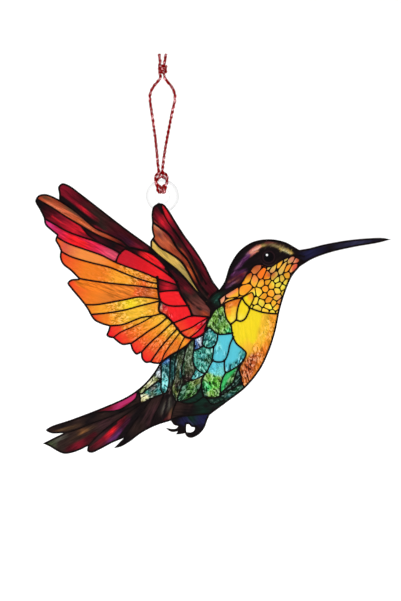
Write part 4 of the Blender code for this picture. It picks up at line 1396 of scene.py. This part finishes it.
def stretched(tree, vector, stretch, scale, detail, roughness=0.62, distortion=0.0):
    """A noise drawn out by a vector's scale."""
    drawn = node(tree, "ShaderNodeMapping")
    put(drawn, {"Scale": stretch})
    link(tree, vector, drawn.inputs["Vector"])
    return noise(tree, drawn.outputs["Vector"], scale, detail, roughness, distortion)


def more(tree, share, change):
    """One, changed by a share of a change."""
    made = math_of(tree, "MULTIPLY_ADD", share, change)
    made.node.inputs[2].default_value = 1.0
    return made


def new_group(name, inputs, outputs):
    """A shader node group with its inputs and outputs."""
    tree = bpy.data.node_groups.new(name, "ShaderNodeTree")
    for label, kind, value in inputs:
        socket = tree.interface.new_socket(label, in_out="INPUT", socket_type=kind)
        socket.default_value = value
    for label, kind in outputs:
        tree.interface.new_socket(label, in_out="OUTPUT", socket_type=kind)
    return tree, node(tree, "NodeGroupInput").outputs, node(tree, "NodeGroupOutput").inputs


def stained_glass_group():
    """The look of stained glass in print: streaks along each pane, crackled flecks, and darker edges."""
    name = "stained glass print"
    if name in bpy.data.node_groups:
        return bpy.data.node_groups[name]
    tree, given, made = new_group(name, [
        ("Tint", "NodeSocketColor", (1, 1, 1, 1)), ("Edge", "NodeSocketFloat", 1.0),
        ("Streak", "NodeSocketFloat", 0.5), ("Fleck", "NodeSocketFloat", 0.5),
        ("Streak Scale", "NodeSocketFloat", 1.0), ("Fleck Scale", "NodeSocketFloat", 1.5),
        ("Glint", "NodeSocketFloat", 0.3),
    ], [("Color", "NodeSocketColor")])
    grain = node(tree, "ShaderNodeUVMap", uv_map="grain").outputs["UV"]
    light = stretched(tree, grain, (0.13, 1, 1), given["Streak Scale"], 4.0, distortion=0.3)
    light = more(tree, given["Streak"], ranged(tree, light, 0.34, 0.66, -0.5, 0.4))
    crackle = stretched(tree, grain, (0.5, 1, 1), given["Fleck Scale"], 3.0, distortion=0.9)
    patches = ranged(tree, noise(tree, place_on(tree), 130.0), 0.42, 0.58, 0.2, 1.0)
    whole = ranged(tree, given["Fleck"], 0.5, 1.0, 0.0, 1.0)
    strength = math_of(tree, "MULTIPLY", given["Fleck"], math_of(tree, "MAXIMUM", patches, whole))
    speck = more(tree, strength, ranged(tree, crackle, 0.41, 0.52, -0.95, 0.2))
    rim = ranged(tree, given["Edge"], 0.0, 0.6, 0.72, 1.0, "SMOOTHSTEP")
    light = math_of(tree, "MULTIPLY", math_of(tree, "MULTIPLY", light, speck), rim)
    pale = node(tree, "ShaderNodeGamma")
    link(tree, given["Tint"], pale.inputs["Color"])
    put(pale, {"Gamma": 0.4})
    glints = ranged(tree, crackle, 0.535, 0.6, 0.0, 1.0, "SMOOTHSTEP")
    glints = math_of(tree, "MULTIPLY", math_of(tree, "MULTIPLY", glints, strength), given["Glint"])
    shaded = scaled(tree, given["Tint"], light)
    link(tree, blend_of(tree, glints, shaded, pale.outputs["Color"]), made["Color"])
    return tree


def new_material(name):
    """A material with its Principled BSDF."""
    finish = bpy.data.materials.new(name)
    finish.use_nodes = True
    return finish, finish.node_tree, finish.node_tree.nodes["Principled BSDF"]


def printed_gloss(tree, shader, specular):
    """The low and slightly uneven gloss of print."""
    grain = noise(tree, place_on(tree), 260.0)
    link(tree, ranged(tree, grain, 0.3, 0.7, 0.3, 0.4), shader.inputs["Roughness"])
    put(shader, {"Specular IOR Level": specular})


def glass_ink(name, streak_scale, fleck_scale, glint):
    """Printed stained glass: its colours come from the picture's own points."""
    finish, tree, shader = new_material(name)
    print_look = node(tree, "ShaderNodeGroup", node_tree=stained_glass_group())
    for label, mark in (("Tint", "tint"), ("Edge", "edge"), ("Streak", "streak"), ("Fleck", "fleck")):
        source = node(tree, "ShaderNodeAttribute", attribute_name=mark)
        link(tree, source.outputs["Color" if mark == "tint" else "Fac"], print_look.inputs[label])
    put(print_look, {"Streak Scale": streak_scale, "Fleck Scale": fleck_scale, "Glint": glint})
    link(tree, print_look.outputs["Color"], shader.inputs["Base Color"])
    printed_gloss(tree, shader, 0.08)
    return finish


def line_ink():
    """The black ink of the picture's lines, a little uneven, as drawn lead is."""
    finish, tree, shader = new_material("black line ink")
    stops = ((0.38, (0.0025, 0.0012, 0.0016)), (0.68, (0.009, 0.005, 0.005)))
    black = ramped(tree, noise(tree, place_on(tree), 420.0, 4.0), stops)
    link(tree, black, shader.inputs["Base Color"])
    printed_gloss(tree, shader, 0.06)
    return finish


def clear_acrylic():
    """Clear cast acrylic: polished, with faint handling marks, and painted shade at the hole's rim and the
    ring's outer edge.
    """
    finish, tree, shader = new_material("clear cast acrylic")
    put(shader, {"Transmission Weight": 1.0, "IOR": 1.49})
    place = place_on(tree)
    from_hole = vector_of(tree, "SUBTRACT", place, HOLE)["Vector"]
    flattened = vector_of(tree, "MULTIPLY", from_hole, (1, 0, 1))["Vector"]
    away = vector_of(tree, "LENGTH", flattened)["Value"]
    clear = (0.985, 0.99, 0.992)
    # Painted shade: the sheet's colour turns grey at the hole's rim and at the ring's outer edge, standing in
    # for the shade of its clear edges.
    stops = ((0.36, (0.8, 0.8, 0.8)), (0.47, clear), (0.72, clear), (0.85, (0.84, 0.835, 0.84)),
             (0.935, (0.78, 0.77, 0.78)), (0.95, clear))
    tone = ramped(tree, ranged(tree, away, 0, PAINTED_SHADE_RADIUS, 0, 1), stops)
    link(tree, tone, shader.inputs["Base Color"])
    marks = noise(tree, place, 190.0, 5.0)
    link(tree, ranged(tree, marks, 0.45, 0.75, 0.015, 0.06), shader.inputs["Roughness"])
    return finish


def glitter_group():
    """Fine glitter over yarn: which specks shine, and the yarn's colour under them, darkened in streaks along
    its fibres, partly as fibre grain and partly as painted shade for the gaps between the plies.
    """
    name = "yarn and glitter"
    if name in bpy.data.node_groups:
        return bpy.data.node_groups[name]
    tree, given, made = new_group(name, [
        ("Yarn", "NodeSocketColor", (0.5, 0.01, 0.02, 1)), ("Glitter", "NodeSocketColor", (0.9, 0.6, 0.6, 1)),
        ("Share", "NodeSocketFloat", 0.2), ("Speck Scale", "NodeSocketFloat", 1200.0),
    ], [("Color", "NodeSocketColor"), ("Shine", "NodeSocketFloat"), ("Height", "NodeSocketFloat")])
    specks = node(tree, "ShaderNodeTexVoronoi")
    link(tree, place_on(tree), specks.inputs["Vector"])
    link(tree, given["Speck Scale"], specks.inputs["Scale"])
    chance = node(tree, "ShaderNodeSeparateColor")
    link(tree, specks.outputs["Color"], chance.inputs["Color"])
    shine = math_of(tree, "LESS_THAN", chance.outputs["Red"], given["Share"])
    way = node(tree, "ShaderNodeUVMap", uv_map="UVMap").outputs["UV"]
    fibres = stretched(tree, way, (0.5, 5, 1), 2.0, 2.0, roughness=0.5)
    # Partly painted shade: the yarn darkens in streaks along its fibres, as fibre grain and as shade in the
    # gaps between the plies.
    grain_and_painted_shade = scaled(tree, given["Yarn"], ranged(tree, fibres, 0.42, 0.58, 0.06, 1.25))
    link(tree, blend_of(tree, shine, grain_and_painted_shade, given["Glitter"]), made["Color"])
    link(tree, shine, made["Shine"])
    link(tree, fibres, made["Height"])
    return tree


def yarn(name, colour, glitter, share, rough):
    """Twisted yarn with glitter in it."""
    finish, tree, shader = new_material(name)
    look = node(tree, "ShaderNodeGroup", node_tree=glitter_group())
    put(look, {"Yarn": (*Color(colour).from_srgb_to_scene_linear(), 1),
               "Glitter": (*Color(glitter).from_srgb_to_scene_linear(), 1), "Share": share})
    link(tree, look.outputs["Color"], shader.inputs["Base Color"])
    put(shader, {"Specular IOR Level": 0.04})
    link(tree, ranged(tree, look.outputs["Shine"], 0, 1, rough, 0.28), shader.inputs["Roughness"])
    bump = node(tree, "ShaderNodeBump")
    put(bump, {"Strength": 0.5, "Distance": 0.0001})
    link(tree, look.outputs["Height"], bump.inputs["Height"])
    link(tree, bump.outputs["Normal"], shader.inputs["Normal"])
    return finish


def studio_white(name):
    """Matt white card."""
    finish, tree, shader = new_material(name)
    stops = ((0, (0.9, 0.9, 0.9)), (1, (0.93, 0.93, 0.93)))
    link(tree, ramped(tree, noise(tree, place_on(tree), 3.0), stops), shader.inputs["Base Color"])
    put(shader, {"Roughness": 0.9, "Specular IOR Level": 0.1})
    return finish


class ORNAMENT_OT_stage(Operator):
    """Makes the camera, the floor with its backdrop, and the soft lights."""

    bl_idname = "ornament.stage"
    bl_label = "Studio"

    def execute(self, context):
        sizes = context.scene.ornament_stage
        aim = Vector(sizes.aim)
        place = (aim.x, -sizes.distance - SHEET_THICKNESS / 2 * MM, aim.z)
        bpy.ops.object.camera_add(location=place, rotation=(pi / 2, 0, 0))
        camera = context.object
        camera.name = "product_camera"
        camera.data.lens = sizes.lens
        camera.data.clip_start = 0.01
        context.scene.camera = camera
        self.card(context, sizes)
        self.lights()
        self.world(context)
        context.scene.view_settings.view_transform = "Standard"
        return {"FINISHED"}

    @staticmethod
    def card(context, sizes):
        """A floor that curves up into a backdrop."""
        bpy.ops.mesh.primitive_plane_add(size=1, location=(0, 0, sizes.floor))
        floor = context.object
        floor.name = "studio_floor"
        floor.scale = (*CARD_SIZE, 1)
        floor.location.y = sizes.wall - CARD_SIZE[1] / 2
        bpy.ops.object.transform_apply(location=True, rotation=False, scale=True)
        bpy.ops.object.mode_set(mode="EDIT")
        shape = bmesh.from_edit_mesh(floor.data)
        back = max(v.co.y for v in shape.verts)
        for item in (*shape.verts, *shape.edges, *shape.faces):
            item.select = False
        for edge in shape.edges:
            edge.select = all(v.co.y > back - 0.01 for v in edge.verts)
        bmesh.update_edit_mesh(floor.data)
        bpy.ops.mesh.extrude_region_move(TRANSFORM_OT_translate={"value": (0, 0, BACKDROP_HEIGHT)})
        bpy.ops.object.mode_set(mode="OBJECT")
        bend = floor.modifiers.new("cove", "BEVEL")
        bend.width = COVE_WIDTH
        bend.segments = COVE_SEGMENTS
        bpy.ops.object.modifier_apply(modifier=bend.name)
        bpy.ops.object.shade_smooth()
        floor.data.materials.append(studio_white("studio card"))

    @staticmethod
    def lights():
        """Soft lights: two in front, one on the backdrop and one behind."""
        for name, place, target, size, power in LIGHTS:
            bpy.ops.object.light_add(type="AREA", location=place)
            light = bpy.context.object
            light.name = name
            light.data.shape = "DISK"
            light.data.size = size
            light.data.energy = power
            way = Vector(target) - Vector(place)
            light.rotation_euler = way.to_track_quat("-Z", "Y").to_euler()

    @staticmethod
    def world(context):
        """A white room, dim behind the camera so that the gloss doesn't mirror it."""
        world = context.scene.world or bpy.data.worlds.new("studio")
        context.scene.world = world
        world.use_nodes = True
        tree = world.node_tree
        place = node(tree, "ShaderNodeTexCoord").outputs["Generated"]
        parts = node(tree, "ShaderNodeSeparateXYZ")
        link(tree, place, parts.inputs["Vector"])
        stops = ((0.12, (0.14, 0.14, 0.14)), (0.62, (0.7, 0.7, 0.7)))
        room = ramped(tree, ranged(tree, parts.outputs["Y"], -1, 1, 0, 1), stops)
        link(tree, room, tree.nodes["Background"].inputs["Color"])


class ORNAMENT_OT_cord(Operator):
    """Makes the glitter cord: its hitch on the ring, and its two strands up to the knot."""

    bl_idname = "ornament.cord"
    bl_label = "Cord and Knot"

    def execute(self, context):
        sizes = context.scene.ornament_cord
        radius = sizes.diameter / 2
        red = yarn("red glitter yarn", sizes.red, sizes.tinsel, 0.08, 0.6)
        tinsel = yarn("pale tinsel", sizes.tinsel, sizes.red, 0.5, 0.4)
        route = smooth(cord_route(), sizes.step)
        cord = twisted("glitter_cord", [route], sizes)
        knot = twisted("loop_knot", [smooth(line, sizes.step) for line in knot_routes(radius)], sizes)
        for piece in (cord, knot):
            piece.data.materials.append(red)
            piece.data.materials.append(tinsel)
            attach(piece, "root")
        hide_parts("hanging_cord")
        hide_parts("cord_knot")
        return {"FINISHED"}


class ORNAMENT_OT_sheet(Operator):
    """Gives the acrylic sheet its clear finish."""

    bl_idname = "ornament.sheet"
    bl_label = "Acrylic Sheet"

    def execute(self, context):
        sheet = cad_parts["acrylic_panel"]
        finish = clear_acrylic()
        if not sheet.material_slots:
            sheet.data.materials.append(finish)
        for slot in sheet.material_slots:
            slot.material = finish
        sheet.visible_shadow = False
        return {"FINISHED"}


def printed(piece, finish):
    """Finishes a piece of the picture."""
    piece.data.materials.append(finish)
    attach(piece, "root")


def print_areas(context, names, finish):
    """Makes a film of ink for each of those areas of the bird."""
    sizes = context.scene.ornament_picture
    cut = picture(sizes)
    for name in names:
        patches = pane_patches(cut, name)
        if not patches:
            raise RuntimeError(f"no pane is coloured as {name}")
        printed(film(f"{name}_print", *gather(patches), sizes), finish)


class ORNAMENT_OT_lines(Operator):
    """Makes the picture's black lines, its border and the lines between the throat's scales."""

    bl_idname = "ornament.lines"
    bl_label = "Black Lines"

    def execute(self, context):
        sizes = context.scene.ornament_picture
        cut = picture(sizes)
        _, between_scales = throat_patches(cut)
        part = patch(cut, cut.lines + between_scales, plain("night"), np.array((1.0, 0.0)))
        printed(film("black_lines_print", *gather([part]), sizes), line_ink())
        return {"FINISHED"}


class ORNAMENT_OT_wings(Operator):
    """Makes the panes of both wings."""

    bl_idname = "ornament.wings"
    bl_label = "Wing Panes"

    def execute(self, context):
        names = ("near_wing_primaries", "near_wing_secondaries", "near_wing_coverts", "far_wing")
        print_areas(context, names, glass_ink("wing ink", 1.1, 1.3, 1.1))
        return {"FINISHED"}


class ORNAMENT_OT_head(Operator):
    """Makes the head, the bill, the eye and the throat's scales."""

    bl_idname = "ornament.head"
    bl_label = "Head, Throat and Eye"

    def execute(self, context):
        sizes = context.scene.ornament_picture
        cut = picture(sizes)
        print_areas(context, ("head",), glass_ink("head ink", 1.3, 1.4, 0.8))
        scales, _ = throat_patches(cut)
        printed(film("throat_print", *gather(scales), sizes), glass_ink("throat ink", 0.8, 1.5, 0.6))
        rings = [patch(cut, cut.eye[ring], plain(EYE_RINGS[ring][2], EYE_STREAK), np.array((1.0, 0.0)))
                 for ring in sorted(cut.eye)]
        printed(film("eye_print", *gather(rings), sizes), glass_ink("eye ink", 1.0, 1.5, 0.0))
        return {"FINISHED"}


class ORNAMENT_OT_body(Operator):
    """Makes the breast, the back, the belly, the tail and the claws."""

    bl_idname = "ornament.body"
    bl_label = "Body and Tail Panes"

    def execute(self, context):
        print_areas(context, ("breast", "body"), glass_ink("body ink", 1.0, 1.1, 0.95))
        print_areas(context, ("belly", "tail", "claws"), glass_ink("tail ink", 1.5, 1.1, 1.0))
        return {"FINISHED"}


class ORNAMENT_PT_panel(Panel):
    """The ornament's sizes and pieces."""

    bl_label = "Hanging Ornament"
    bl_idname = "ORNAMENT_PT_panel"
    bl_space_type = "VIEW_3D"
    bl_region_type = "UI"
    bl_category = "Ornament"

    def draw(self, context):
        scene = context.scene
        for group in (scene.ornament_cord, scene.ornament_picture, scene.ornament_stage):
            box = self.layout.box()
            for name in type(group).__annotations__:
                box.prop(group, name)
        for operator in OPERATORS:
            self.layout.operator(operator.bl_idname)


OPERATORS = (ORNAMENT_OT_stage, ORNAMENT_OT_cord, ORNAMENT_OT_sheet, ORNAMENT_OT_lines, ORNAMENT_OT_wings,
             ORNAMENT_OT_head, ORNAMENT_OT_body)
CLASSES = (CordSizes, PictureSizes, StageSizes, *OPERATORS, ORNAMENT_PT_panel)


def register():
    """Registers the classes and adds the sizes to the scene."""
    for item in CLASSES:
        bpy.utils.register_class(item)
    bpy.types.Scene.ornament_cord = PointerProperty(type=CordSizes)
    bpy.types.Scene.ornament_picture = PointerProperty(type=PictureSizes)
    bpy.types.Scene.ornament_stage = PointerProperty(type=StageSizes)


def unregister():
    """Takes the sizes and the classes away."""
    del bpy.types.Scene.ornament_stage
    del bpy.types.Scene.ornament_picture
    del bpy.types.Scene.ornament_cord
    for item in reversed(CLASSES):
        bpy.utils.unregister_class(item)


def main():
    """Makes the whole ornament."""
    register()
    bpy.ops.object.select_all(action="DESELECT")
    bpy.ops.ornament.stage()
    bpy.ops.ornament.cord()
    bpy.ops.ornament.sheet()
    bpy.ops.ornament.lines()
    bpy.ops.ornament.wings()
    bpy.ops.ornament.head()
    bpy.ops.ornament.body()


if __name__ == "__main__":
    main()
